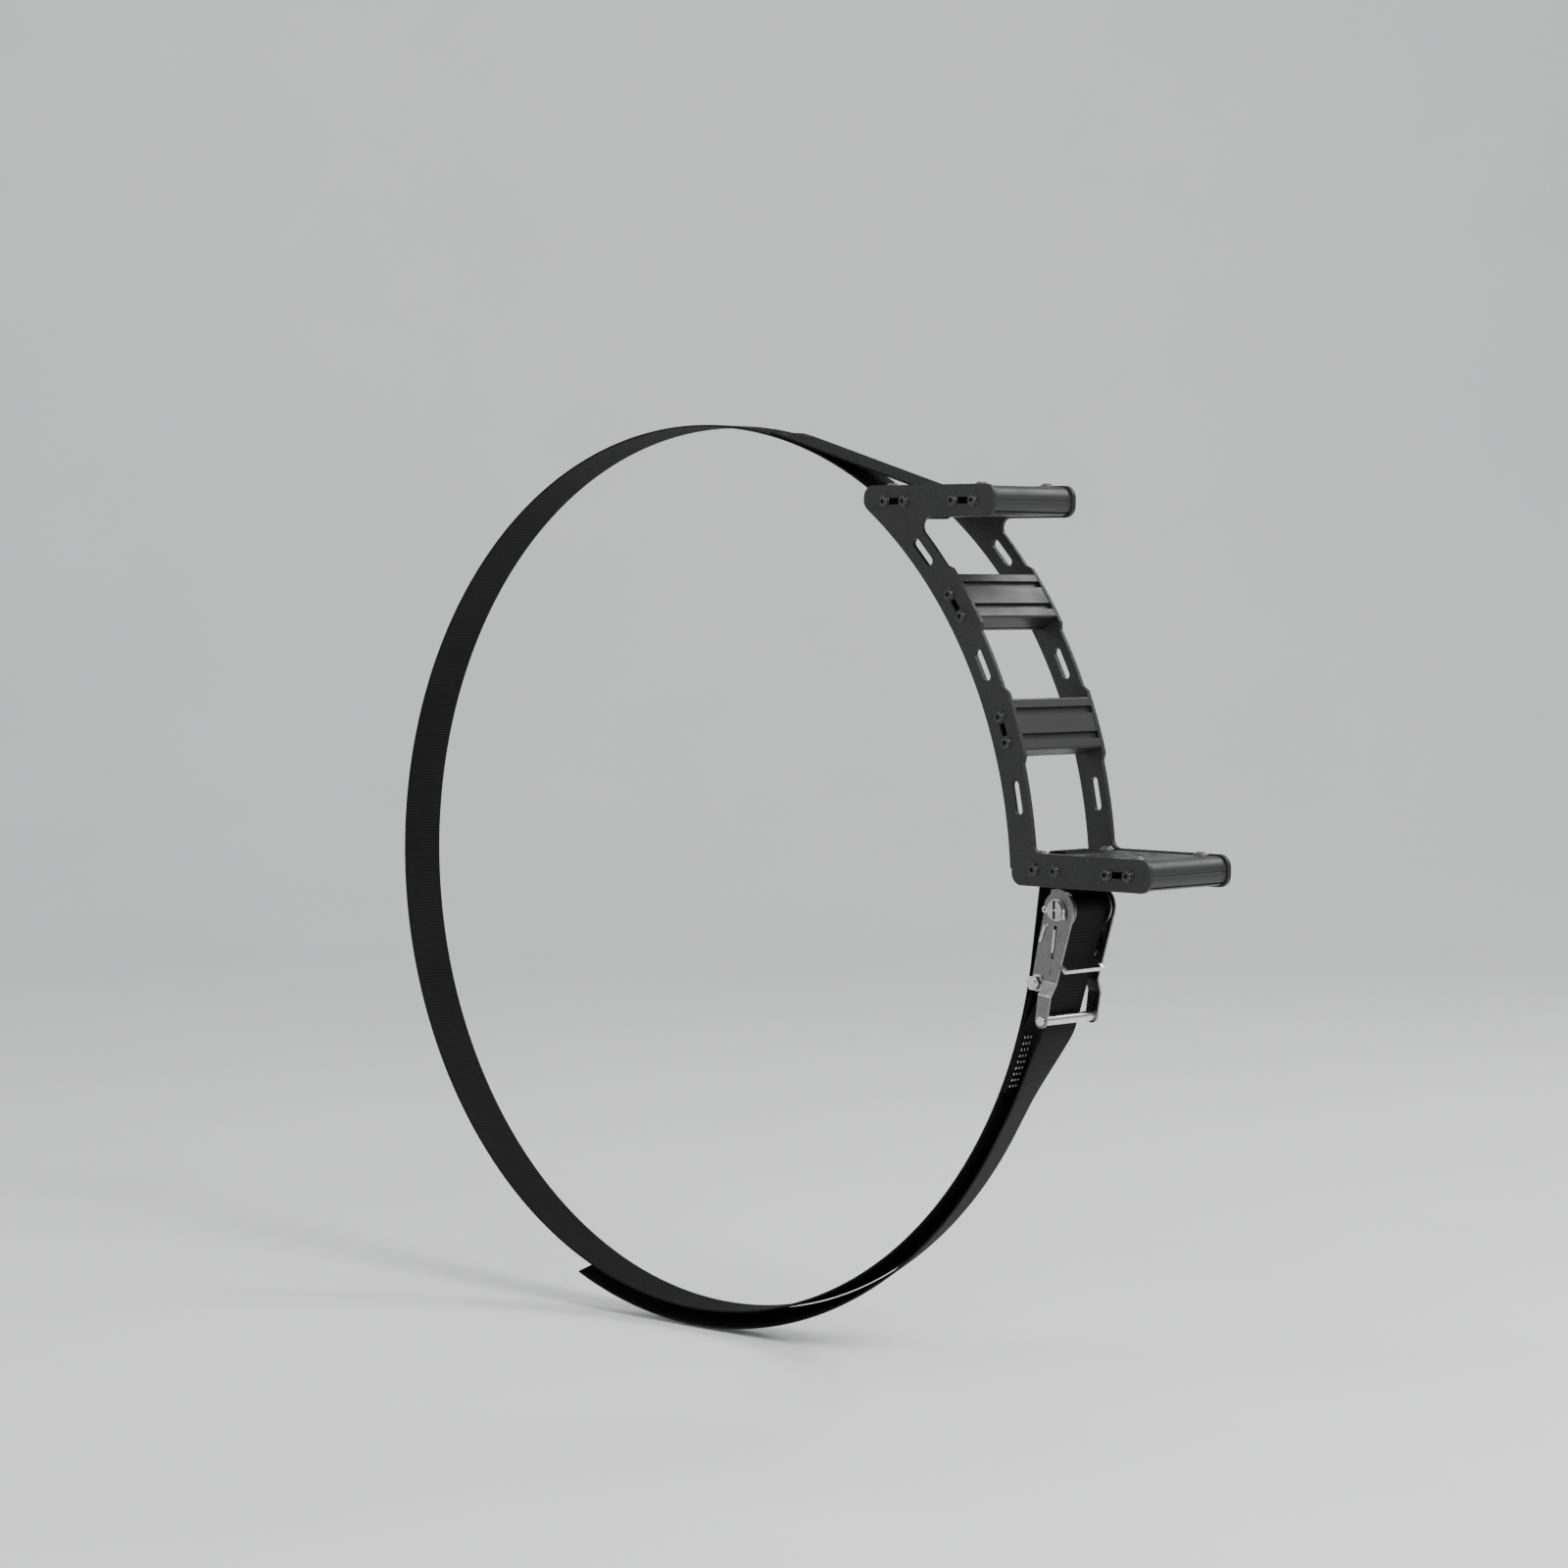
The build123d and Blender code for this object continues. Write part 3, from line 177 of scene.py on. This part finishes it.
# ---- material helpers ---------------------------------------------------------------------------------
class Look:
    """A material's node tree, with short calls for the nodes used here."""

    def __init__(self, name, **sockets):
        self.material = bpy.data.materials.new(name)
        self.material.use_nodes = True
        self.tree = self.material.node_tree
        self.shader = self.tree.nodes["Principled BSDF"]
        for socket, value in sockets.items():
            self.shader.inputs[socket.replace("_", " ")].default_value = value

    def node(self, kind, **values):
        made = self.tree.nodes.new(kind)
        for key, value in values.items():
            setattr(made, key, value)
        return made

    def link(self, source, target):
        self.tree.links.new(source, target)

    def coordinates(self, output="Object"):
        return self.node("ShaderNodeTexCoord").outputs[output]

    def noise(self, scale, detail=3.0, rough=0.5, stretch=None, output="Object"):
        """Noise at so many features a metre. stretch squeezes it along X, Y and Z."""
        texture = self.node("ShaderNodeTexNoise")
        texture.inputs["Scale"].default_value = scale
        texture.inputs["Detail"].default_value = detail
        texture.inputs["Roughness"].default_value = rough
        source = self.coordinates(output)
        if stretch is not None:
            mapping = self.node("ShaderNodeMapping")
            mapping.inputs["Scale"].default_value = stretch
            self.link(source, mapping.inputs["Vector"])
            source = mapping.outputs["Vector"]
        self.link(source, texture.inputs["Vector"])
        return texture.outputs["Fac"]

    def spread(self, source, low, high, from_low=0.3, from_high=0.7):
        """The source's middle range carried onto low to high."""
        mapped = self.node("ShaderNodeMapRange")
        mapped.inputs["From Min"].default_value = from_low
        mapped.inputs["From Max"].default_value = from_high
        mapped.inputs["To Min"].default_value = low
        mapped.inputs["To Max"].default_value = high
        self.link(source, mapped.inputs["Value"])
        return mapped.outputs["Result"]

    def math(self, operation, a, b=None):
        made = self.node("ShaderNodeMath", operation=operation)
        for index, value in enumerate((a, b)):
            if value is None:
                continue
            if isinstance(value, (int, float)):
                made.inputs[index].default_value = value
            else:
                self.link(value, made.inputs[index])
        return made.outputs["Value"]

    def mix(self, share, a, b):
        """A colour between a and b. Either can be a colour or a socket."""
        made = self.node("ShaderNodeMix", data_type="RGBA")
        self.link(share, made.inputs["Factor"])
        for value, target in ((a, made.inputs[6]), (b, made.inputs[7])):
            if isinstance(value, tuple):
                target.default_value = (*value, 1.0)
            else:
                self.link(value, target)
        return made.outputs[2]

    def colour(self, source):
        self.link(source, self.shader.inputs["Base Color"])

    def roughness(self, source):
        self.link(source, self.shader.inputs["Roughness"])

    def bump(self, height, distance, strength=1.0):
        """Adds a bump, in metres, on top of those already there."""
        made = self.node("ShaderNodeBump")
        made.inputs["Strength"].default_value = strength
        made.inputs["Distance"].default_value = distance
        self.link(height, made.inputs["Height"])
        target = self.shader.inputs["Normal"]
        if target.links:
            self.link(target.links[0].from_socket, made.inputs["Normal"])
        self.link(made.outputs["Normal"], target)


def grey(value, warm=0.0):
    return (value * (1 + warm), value, value * (1 - warm))


# ---- materials ----------------------------------------------------------------------------------------
def powder_coat(name, dark, light, rough_low, rough_high):
    """Black powder coat: a fine pebbled grain with faint cloudy variation."""
    look = Look(name)
    look.shader.inputs["Specular IOR Level"].default_value = 0.32
    grain = look.noise(950.0, detail=2.0, rough=0.6)
    cloud = look.noise(14.0, detail=4.0)
    pebbles = look.spread(grain, 0.0, 1.0, 0.35, 0.68)
    speck = look.math("MULTIPLY", pebbles, look.spread(cloud, 0.6, 1.0))
    look.colour(look.mix(speck, grey(dark), grey(light)))
    look.roughness(look.spread(look.noise(300.0), rough_low, rough_high))
    look.bump(grain, 0.00016, 0.75)
    return look.material


def extrusion(name, dark, light):
    """Black anodised extrusion: fine die lines along its length and a satin grain."""
    look = Look(name)
    look.shader.inputs["Specular IOR Level"].default_value = 0.4
    lines = look.noise(700.0, detail=3.0, stretch=(1.0, 0.012, 1.0))
    grain = look.noise(1300.0, detail=2.0)
    smudge = look.noise(18.0, detail=3.0)
    share = look.math("ADD", look.spread(lines, 0.0, 0.5), look.spread(grain, 0.0, 0.5))
    look.colour(look.mix(share, grey(dark), grey(light)))
    worn = look.math("ADD", look.spread(lines, -0.05, 0.05), look.spread(smudge, 0.42, 0.56))
    look.roughness(worn)
    look.bump(lines, 0.00005, 0.6)
    look.bump(grain, 0.00006, 0.5)
    return look.material


def zinc(name, dark, light, rough_low, rough_high, brush=None):
    """Zinc plate: a mottled metal with faint rolling marks and small dull spots."""
    look = Look(name, Metallic=1.0)
    mottle = look.noise(120.0, detail=5.0, rough=0.65)
    spots = look.noise(420.0, detail=2.0)
    dull = look.spread(spots, 0.7, 1.0, 0.3, 0.5)
    share = look.math("MULTIPLY", look.spread(mottle, 0.25, 1.0), dull)
    look.colour(look.mix(share, grey(dark), grey(light, 0.01)))
    look.roughness(look.spread(mottle, rough_high, rough_low))
    marks = look.noise(900.0, detail=2.0, stretch=brush or (1.0, 1.0, 0.05))
    look.bump(marks, 0.00004, 0.5)
    look.bump(spots, 0.00006, 0.3)
    return look.material


def black_oxide(name):
    """Screw steel: dark, oily and slightly uneven."""
    look = Look(name, Metallic=0.75)
    mottle = look.noise(500.0, detail=4.0)
    look.colour(look.mix(look.spread(mottle, 0.0, 1.0), grey(0.025), grey(0.075)))
    look.roughness(look.spread(mottle, 0.24, 0.38))
    look.bump(mottle, 0.00005, 0.4)
    return look.material


RIB_PITCH = 3.2 * MM
YARN_PITCH = 1.6 * MM           # across the strap


def webbing(name, dark, light):
    """Ribbed polyester webbing, its colour lighter on the rib and yarn crests as a painted highlight and
    darker in the grooves as painted shade. UV runs along the strap and across it, in metres.
    """
    look = Look(name, Roughness=0.62)
    look.shader.inputs["Specular IOR Level"].default_value = 0.1
    parts = look.node("ShaderNodeSeparateXYZ")
    look.link(look.coordinates("UV"), parts.inputs["Vector"])
    along, across = parts.outputs["X"], parts.outputs["Y"]
    row = look.math("DIVIDE", along, RIB_PITCH)
    odd = look.math("MULTIPLY", look.math("MODULO", look.math("FLOOR", row), 2.0), math.pi)
    turns = look.math("MULTIPLY", across, math.tau / YARN_PITCH)
    yarn = look.math("SINE", look.math("ADD", turns, odd))
    rib = look.math("ABSOLUTE", look.math("SINE", look.math("MULTIPLY", row, math.pi)))
    fibre = look.noise(1.0, detail=2.0, stretch=(5200.0, 700.0, 1.0), output="UV")
    fade = look.noise(9.0, detail=3.0)
    height = look.math("ADD", look.math("MULTIPLY", rib, 0.85), look.math("MULTIPLY", yarn, 0.15))
    # painted highlight on the rib and yarn crests, painted shade in the grooves between them; the fade
    # and fibre noise that follow are random tone
    rib_crest_highlight = look.spread(height, 0.0, 1.0, 0.1, 0.95)
    share = look.math("MULTIPLY", rib_crest_highlight, look.spread(fade, 0.55, 1.0))
    share = look.math("MULTIPLY", share, look.spread(fibre, 0.65, 1.0))
    look.colour(look.mix(share, grey(dark), grey(light)))
    look.bump(yarn, 0.00016, 0.6)
    look.bump(fibre, 0.00008, 0.5)
    return look.material


def thread(name, value):
    """Sewing thread with a twist across each stitch."""
    look = Look(name, Roughness=0.55)
    twist = look.noise(2600.0, detail=2.0)
    look.colour(look.mix(look.spread(twist, 0.0, 1.0), grey(value * 0.6), grey(value)))
    look.bump(twist, 0.00008, 0.6)
    return look.material


def floor_paint():
    look = Look("floor_paint", Roughness=0.75)
    look.colour(look.mix(look.spread(look.noise(3.0), 0.0, 1.0), grey(0.93), grey(0.96)))
    return look.material


def dress_metal():
    """Gives every metal CAD node its material."""
    by_slot = {
        "plate_black": powder_coat("plate_powder_coat", 0.004, 0.03, 0.44, 0.62),
        "tread_black": extrusion("tread_anodised", 0.009, 0.022),
        "slat_black": extrusion("slat_anodised", 0.005, 0.014),
        "stud_grey": zinc("stud_metal", 0.16, 0.3, 0.35, 0.5),
        "screw_black": black_oxide("screw_black_oxide"),
        "ratchet_zinc": zinc("ratchet_zinc_plate", 0.13, 0.23, 0.24, 0.36),
        "mandrel_zinc": zinc("mandrel_zinc_plate", 0.3, 0.55, 0.3, 0.5, (1.0, 0.05, 1.0)),
        "pawl_zinc": zinc("pawl_zinc_plate", 0.45, 0.7, 0.22, 0.36),
        "grip_zinc": zinc("grip_zinc_plate", 0.5, 0.72, 0.2, 0.32, (1.0, 0.05, 1.0)),
        "fastener_zinc": zinc("fastener_zinc_plate", 0.5, 0.75, 0.2, 0.34),
        "pin_zinc": zinc("pin_zinc_plate", 0.5, 0.8, 0.2, 0.34),
        "spring_steel": zinc("spring_steel", 0.3, 0.5, 0.25, 0.4),
    }
    for part in record["subparts"]:
        material = by_slot.get(part["material_slot"])
        if material is None:
            continue
        mesh = frame["nodes"][part["node"]].data
        mesh.materials.clear()
        mesh.materials.append(material)


# ---- strap routes -------------------------------------------------------------------------------------
STRAP_T = 2.2 * MM
LAYER_GAP = 0.1 * MM
BODY_GAP = 0.3 * MM
LAYER = STRAP_T + LAYER_GAP
MAIN_R = TIRE_R + STRAP_T / 2
LEAD_R = ROLL_R + BODY_GAP + STRAP_T / 2
TREAD_CORNER_R = 12.0 * MM
SLOT_LIP_R = 2.0 * MM
SLOT_TO_REAR = 26.6 * MM        # from a tread's rear face to its strap slot's rear wall
LOOP_SEWN_ANGLE = 77.0          # where the upper loop's sewn end stops, degrees round the tire
STEP = 0.64 * MM                # along a strap, between its cross-sections
ARC_STEP = 2.0 * MM             # along an arc of a route, between its points
ARC_TURN = 0.1                  # the most an arc turns between its points, in radians
SAME_PLACE = 1e-7               # route points nearer than this are one point


def polar(radius, degrees):
    return radius * math.cos(math.radians(degrees)), radius * math.sin(math.radians(degrees))


def tangent(a, b):
    """The straight run from one round guide, (x, z, radius, turn), to the next.

    Turn +1 is anticlockwise, and -1 clockwise.
    """
    ax, az, ar, aturn = a
    bx, bz, br, bturn = b
    distance = math.hypot(bx - ax, bz - az)
    direction = math.atan2(bz - az, bx - ax) + math.asin((aturn * ar - bturn * br) / distance)
    side_x, side_z = math.sin(direction), -math.cos(direction)
    start = (ax + aturn * ar * side_x, az + aturn * ar * side_z)
    end = (bx + bturn * br * side_x, bz + bturn * br * side_z)
    return start, end


def arc_points(guide, start, end):
    x, z, radius, turn = guide
    a0 = math.atan2(start[1] - z, start[0] - x)
    a1 = math.atan2(end[1] - z, end[0] - x)
    sweep = (a1 - a0) % math.tau if turn > 0 else -((a0 - a1) % math.tau)
    count = max(3, int(abs(sweep) * radius / ARC_STEP), int(abs(sweep) / ARC_TURN))
    angles = [a0 + sweep * k / count for k in range(count + 1)]
    return [(x + radius * math.cos(a), z + radius * math.sin(a)) for a in angles]


def route(guides, first=None, last=None):
    """Points of a strap's middle line round its guides."""
    runs = [tangent(a, b) for a, b in zip(guides, guides[1:])]
    points = []
    if first is not None:
        points += arc_points(guides[0], first, runs[0][0])
    for index, (start, end) in enumerate(runs):
        points += [start, end]
        if index + 1 < len(runs):
            points += arc_points(guides[index + 1], end, runs[index + 1][0])
    if last is not None:
        points += arc_points(guides[-1], runs[-1][1], last)
    return points


def even_steps(points):
    """The route again, with points at even steps, and the length so far at each."""
    line = np.array(points)
    gaps = np.hypot(*np.diff(line, axis=0).T)
    keep = np.concatenate(([True], gaps > SAME_PLACE))
    line = line[keep]
    length = np.concatenate(([0.0], np.cumsum(np.hypot(*np.diff(line, axis=0).T))))
    along = np.linspace(0.0, length[-1], int(length[-1] / STEP) + 1)
    even = [np.interp(along, length, line[:, axis]) for axis in (0, 1)]
    return np.stack(even, axis=1), along


def chamber(node):
    """Guides round a tread's rear chamber: slot bottom, slot top, rear top, rear bottom."""
    low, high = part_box(node)
    spare = STRAP_T / 2 + LAYER_GAP
    slot_x = low.x + SLOT_TO_REAR - SLOT_LIP_R
    rear_x = low.x + TREAD_CORNER_R
    return {
        "slot_low": (slot_x, low.z + SLOT_LIP_R, SLOT_LIP_R + spare),
        "slot_high": (slot_x, high.z - SLOT_LIP_R, SLOT_LIP_R + spare),
        "rear_high": (rear_x, high.z - TREAD_CORNER_R, TREAD_CORNER_R + spare),
        "rear_low": (rear_x, low.z + TREAD_CORNER_R, TREAD_CORNER_R + spare),
    }


# ---- strap meshes -------------------------------------------------------------------------------------
WEAVE_T = 2.0 * MM              # thickness at the ribs' mean level
RIB_HEIGHT = 0.55 * MM
RIB_ROUNDNESS = 0.7             # under 1 makes full ribs with narrow grooves
RIB_LEVEL = 0.6                 # the share of a rib's height at the weave's face
FADE_START = 0.9 * MM           # from the strap's edge, where the ribs begin to show
FADE_END = 1.6 * MM             # from the strap's edge, where they are nearly full
FADE_SHARES = (0.15, 0.9)       # how strongly they show at those two places
FACE_PLACES = (0.62, 0.22)      # more places on the face, as shares of the half width
SHOULDER_IN = 0.25 * MM         # from the strap's edge to its rounded shoulder
SHOULDER_T = 0.72               # the shoulder's thickness, as a share of WEAVE_T
EDGE_ZONE = 0.49                # beyond this share of the width is the edge
EDGE_SWELL = 0.006              # each rib pushes the edge out by this share


def cross_section():
    """Places round the strap's section as (across, out, how strongly ribs show, side)."""
    half, top = STRAP_WIDTH / 2, WEAVE_T / 2
    shoulder, shoulder_top = half - SHOULDER_IN, top * SHOULDER_T
    near = [(-half + place, share) for place, share in zip((FADE_START, FADE_END), FADE_SHARES)]
    near += [(-half * place, 1.0) for place in FACE_PLACES]
    face = near + [(-across, share) for across, share in reversed(near)]
    ring = [(-half, 0.0, 0.0, 0), (-shoulder, shoulder_top, 0.0, 1)]
    ring += [(across, top, share, 1) for across, share in face]
    ring += [(shoulder, shoulder_top, 0.0, 1), (half, 0.0, 0.0, 0), (shoulder, -shoulder_top, 0.0, -1)]
    ring += [(-across, -top, share, -1) for across, share in face]
    ring += [(-shoulder, -shoulder_top, 0.0, -1)]
    return ring


def strap(name, points, material, tilt=None):
    """A ribbed strap along a route. tilt(places on the route) gives its section's lean, in radians."""
    line, along = even_steps(points)
    run = np.gradient(line, axis=0)
    run /= np.linalg.norm(run, axis=1)[:, None]
    out = np.stack([-run[:, 1], run[:, 0]], axis=1)
    count = len(line)
    lean = np.zeros(count) if tilt is None else tilt(line)
    wave = np.abs(np.sin(math.pi * along / RIB_PITCH)) ** RIB_ROUNDNESS
    ring = cross_section()
    co = np.zeros((count, len(ring), 3))
    uv = np.zeros((count, len(ring), 2))
    for k, (across, off, share, side) in enumerate(ring):
        edge = 1.0 + EDGE_SWELL * wave * (abs(across) > STRAP_WIDTH * EDGE_ZONE)
        y = across * edge
        n = off + side * share * (wave - RIB_LEVEL) * RIB_HEIGHT
        shift_y = y * np.cos(lean) + n * np.sin(lean)
        shift_n = -y * np.sin(lean) + n * np.cos(lean)
        co[:, k, 0] = line[:, 0] + out[:, 0] * shift_n
        co[:, k, 1] = shift_y
        co[:, k, 2] = line[:, 1] + out[:, 1] * shift_n
        uv[:, k, 0] = along
        uv[:, k, 1] = across
    return band_mesh(name, co, uv, material)


def band_mesh(name, co, uv, material):
    """A closed tube of quads from rings of points, with its two ends capped."""
    count, size = co.shape[:2]
    first = (np.arange(count - 1) * size)[:, None] + np.arange(size)[None, :]
    second = (np.arange(count - 1) * size)[:, None] + (np.arange(size)[None, :] + 1) % size
    quads = np.stack([first, second, second + size, first + size], axis=-1).reshape(-1, 4)
    faces = quads.tolist()
    faces.append(list(range(size - 1, -1, -1)))
    faces.append(list(range((count - 1) * size, count * size)))
    mesh = bpy.data.meshes.new(name)
    mesh.from_pydata(co.reshape(-1, 3).tolist(), [], faces)
    layer = mesh.uv_layers.new(name="UVMap")
    corner = np.zeros(len(mesh.loops), np.int32)
    mesh.loops.foreach_get("vertex_index", corner)
    layer.data.foreach_set("uv", uv.reshape(-1, 2)[corner].astype(np.float32).ravel())
    mesh.polygons.foreach_set("use_smooth", np.ones(len(mesh.polygons), bool))
    mesh.validate()
    mesh.materials.append(material)
    made = bpy.data.objects.new(name, mesh)
    bpy.context.collection.objects.link(made)
    return made


def route_length(points):
    return even_steps(points)[1][-1]


def main_route(low, high):
    """From the mandrel over the lower tread's chamber, round the tire and round the upper one's."""
    guides = [
        (MANDREL.x, MANDREL.z, LEAD_R, -1),
        low["slot_low"] + (1,),
        low["slot_high"] + (1,),
        low["rear_high"] + (1,),
        (0, 0, MAIN_R, -1),
        high["rear_low"] + (1,),
        high["slot_low"] + (1,),
        high["slot_high"] + (1,),
        (0, 0, MAIN_R + LAYER, 1),
    ]
    return route(guides, last=polar(MAIN_R + LAYER, LOOP_SEWN_ANGLE))


ANCHOR_FOLD_R = 12.0 * MM       # where the loop's outer layer bends onto the tire
ANCHOR_FOLD_ANGLE = -16.5       # degrees round the tire
ANCHOR_END_ANGLE = -25.0


def anchor_route():
    """Up from the sewn end, round the ratchet's bolt and back down over itself."""
    inner_r, outer_r = MAIN_R + LAYER, MAIN_R + 2 * LAYER
    fold = polar(outer_r + ANCHOR_FOLD_R + LAYER_GAP / 2, ANCHOR_FOLD_ANGLE)
    guides = [
        (0, 0, inner_r, 1),
        (BOLT.x, BOLT.z, SPACER_R + STRAP_T / 2 + LAYER_GAP, -1),
        fold + (ANCHOR_FOLD_R, 1),
        (0, 0, outer_r, -1),
    ]
    return route(guides, polar(inner_r, ANCHOR_END_ANGLE), polar(outer_r, ANCHOR_END_ANGLE))


TAIL_LIFT_NEAR = 15.0 * MM      # the loose tail's near edge over the strap it lies on
TAIL_LIFT_FAR = 0.5 * MM
TAIL_END = -112.0               # degrees round the tire
TAIL_BEND_R = 60.0 * MM         # how gently the tail turns past the grip
TAIL_GRIP_GAP = 1.0 * MM
TAIL_ROLL_ANGLE = 75.0          # where the tail comes up out of the roll, degrees round the mandrel
TAIL_SINK = 3.2 * MM            # how deep in the roll it starts
TAIL_ROLL_STEPS = 24
TAIL_LEAN_ANGLE = -14.0         # where the tail begins to lean over, degrees round the tire
TAIL_LEAN_SPAN = 14.0           # how many more degrees it takes


def tail_route():
    """From the roll, inboard of the grip tube, and down over the main strap."""
    tail_r = MAIN_R + LAYER + (TAIL_LIFT_NEAR + TAIL_LIFT_FAR) / 2
    down = (GRIP - MANDREL).normalized()
    inboard = GRIP_R + TAIL_GRIP_GAP + STRAP_T / 2 + TAIL_BEND_R
    bend = (GRIP.x + down.z * inboard, GRIP.z - down.x * inboard)
    guides = [
        (MANDREL.x, MANDREL.z, LEAD_R, -1),
        bend + (TAIL_BEND_R, -1),
        (0, 0, tail_r, -1),
    ]
    return spiral(tangent(*guides[:2])[0]) + route(guides, last=polar(tail_r, TAIL_END))


def spiral(to_point):
    """Points that come up out of the roll and end where the strap leaves it."""
    to_angle = math.degrees(math.atan2(to_point[1] - MANDREL.z, to_point[0] - MANDREL.x))
    radius = math.hypot(to_point[0] - MANDREL.x, to_point[1] - MANDREL.z)
    points = []
    for k in range(TAIL_ROLL_STEPS):
        share = k / TAIL_ROLL_STEPS
        x, z = polar(radius - TAIL_SINK * (1 - share) ** 2,
                     TAIL_ROLL_ANGLE + (to_angle - TAIL_ROLL_ANGLE) * share)
        points.append((MANDREL.x + x, MANDREL.z + z))
    return points


def tail_tilt(line):
    """The tail lies flat at the grip and leans over once it is on the tire."""
    angle = np.degrees(np.arctan2(line[:, 1], line[:, 0]))
    share = np.clip((TAIL_LEAN_ANGLE - angle) / TAIL_LEAN_SPAN, 0.0, 1.0)
    share = share * share * (3 - 2 * share)
    lean = math.asin((TAIL_LIFT_NEAR - TAIL_LIFT_FAR) / STRAP_WIDTH)
    return share * lean


ROLL_STEPS = 90


def roll_mesh(material):
    """The wound webbing on the mandrel: one ribbed turn that grows outward."""
    inner = (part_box("mandrel_half_inboard")[1].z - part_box("mandrel_half_inboard")[0].z) / 2
    start_r = inner + STRAP_T / 2 + LAYER_GAP
    end_r = ROLL_R - STRAP_T / 2
    points = []
    for k in range(ROLL_STEPS + 1):
        turn = math.tau * k / ROLL_STEPS
        r = start_r + (end_r - start_r) * k / ROLL_STEPS
        points.append((MANDREL.x + r * math.cos(turn), MANDREL.z + r * math.sin(turn)))
    return strap("wound_webbing_turns", points, material), route_length(points)


STITCH_LENGTH = 3.0 * MM
STITCH_WIDTH = 1.1 * MM
STITCH_HEIGHT = 0.6 * MM
STITCH_PITCH = 6.5 * MM
STITCH_SLANT = 0.3              # sideways over lengthways, to one side and then the other
STITCH_STAND = 1.15 * MM        # from the strap's middle line to the stitches' centres
STITCH_COLUMNS = [place * MM for place in (-21.0, -16.5, -12.0, 12.0, 16.5, 21.0)]
STITCH_SECTIONS = ((-0.5, 0.25), (-0.3, 0.85), (0.0, 1.0), (0.3, 0.85), (0.5, 0.25))
STITCH_SIDES = 8
ANCHOR_SEAM = (-24.4, -16.6)    # degrees round the tire
LOOP_SEAM = (74.8, 76.6)


def stitches(name, places, material):
    """Raised stitches. Each place is (centre, along, across, out)."""
    corners, faces = [], []
    last_row = (len(STITCH_SECTIONS) - 1) * STITCH_SIDES
    for centre, along, across, out in places:
        base = len(corners)
        for share, scale in STITCH_SECTIONS:
            for k in range(STITCH_SIDES):
                turn = math.tau * k / STITCH_SIDES
                corner = centre + along * (share * STITCH_LENGTH)
                corner = corner + across * (math.cos(turn) * STITCH_WIDTH / 2 * scale)
                corner = corner + out * (math.sin(turn) * STITCH_HEIGHT * scale)
                corners.append(corner)
        for row in range(len(STITCH_SECTIONS) - 1):
            for k in range(STITCH_SIDES):
                a = base + row * STITCH_SIDES + k
                b = base + row * STITCH_SIDES + (k + 1) % STITCH_SIDES
                faces.append((a, b, b + STITCH_SIDES, a + STITCH_SIDES))
        faces.append(tuple(base + k for k in reversed(range(STITCH_SIDES))))
        faces.append(tuple(base + last_row + k for k in range(STITCH_SIDES)))
    mesh = bpy.data.meshes.new(name)
    mesh.from_pydata(corners, [], faces)
    mesh.polygons.foreach_set("use_smooth", np.ones(len(mesh.polygons), bool))
    mesh.materials.append(material)
    made = bpy.data.objects.new(name, mesh)
    bpy.context.collection.objects.link(made)
    return made


def sewn_rows(strap_r, seam):
    """Stitch rows on a strap whose middle line lies at this radius round the tire."""
    places = []
    radius = strap_r + STITCH_STAND
    count = int(math.radians(seam[1] - seam[0]) * radius / STITCH_PITCH)
    for column in STITCH_COLUMNS:
        for k in range(count):
            angle = math.radians(seam[0]) + (k + 0.5) * STITCH_PITCH / radius
            out = Vector((math.cos(angle), 0, math.sin(angle)))
            along = Vector((-math.sin(angle), 0, math.cos(angle)))
            slant = STITCH_SLANT if k % 2 else -STITCH_SLANT
            lean = (along + Vector((0, slant, 0))).normalized()
            across = out.cross(lean)
            places.append((out * radius + Vector((0, column, 0)), lean, across, out))
    return places


def make_webbing():
    """Makes every piece of webbing and its stitches, hides the plain CAD bands they replace, and hangs
    all but the loose tail on its body.
    """
    black = webbing("webbing_black", 0.001, 0.013)
    low, high = chamber("lower_tread"), chamber("upper_tread")
    main_points = main_route(low, high)
    main = strap("main_strap_webbing", main_points, black)
    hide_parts("main_strap")
    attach(main, "ladder")

    anchor_points = anchor_route()
    anchor = strap("anchor_loop_webbing", anchor_points, black)
    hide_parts("anchor_loop")
    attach(anchor, "ladder")

    tail_points = tail_route()
    tail = strap("loose_tail_webbing", tail_points, black, tilt=tail_tilt)
    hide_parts("tail_in_handle", "tail_on_tire")
    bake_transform(tail)

    roll, roll_length = roll_mesh(black)
    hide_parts("wound_webbing")
    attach(roll, "mandrel")

    pale = thread("pale_thread", 0.85)
    dark = thread("dark_thread", 0.06)
    sewn = stitches("anchor_loop_stitches", sewn_rows(MAIN_R + 2 * LAYER, ANCHOR_SEAM), pale)
    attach(sewn, "ladder")
    loop = stitches("upper_loop_stitches", sewn_rows(MAIN_R + LAYER, LOOP_SEAM), dark)
    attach(loop, "ladder")


# ---- make the scene -----------------------------------------------------------------------------------
make_camera()
floor = make_stage(cad_box[0].z - FLOOR_DROP)
floor.data.materials.append(floor_paint())
for light in LIGHTS:
    area_light(*light)
make_world()
dress_metal()
make_webbing()
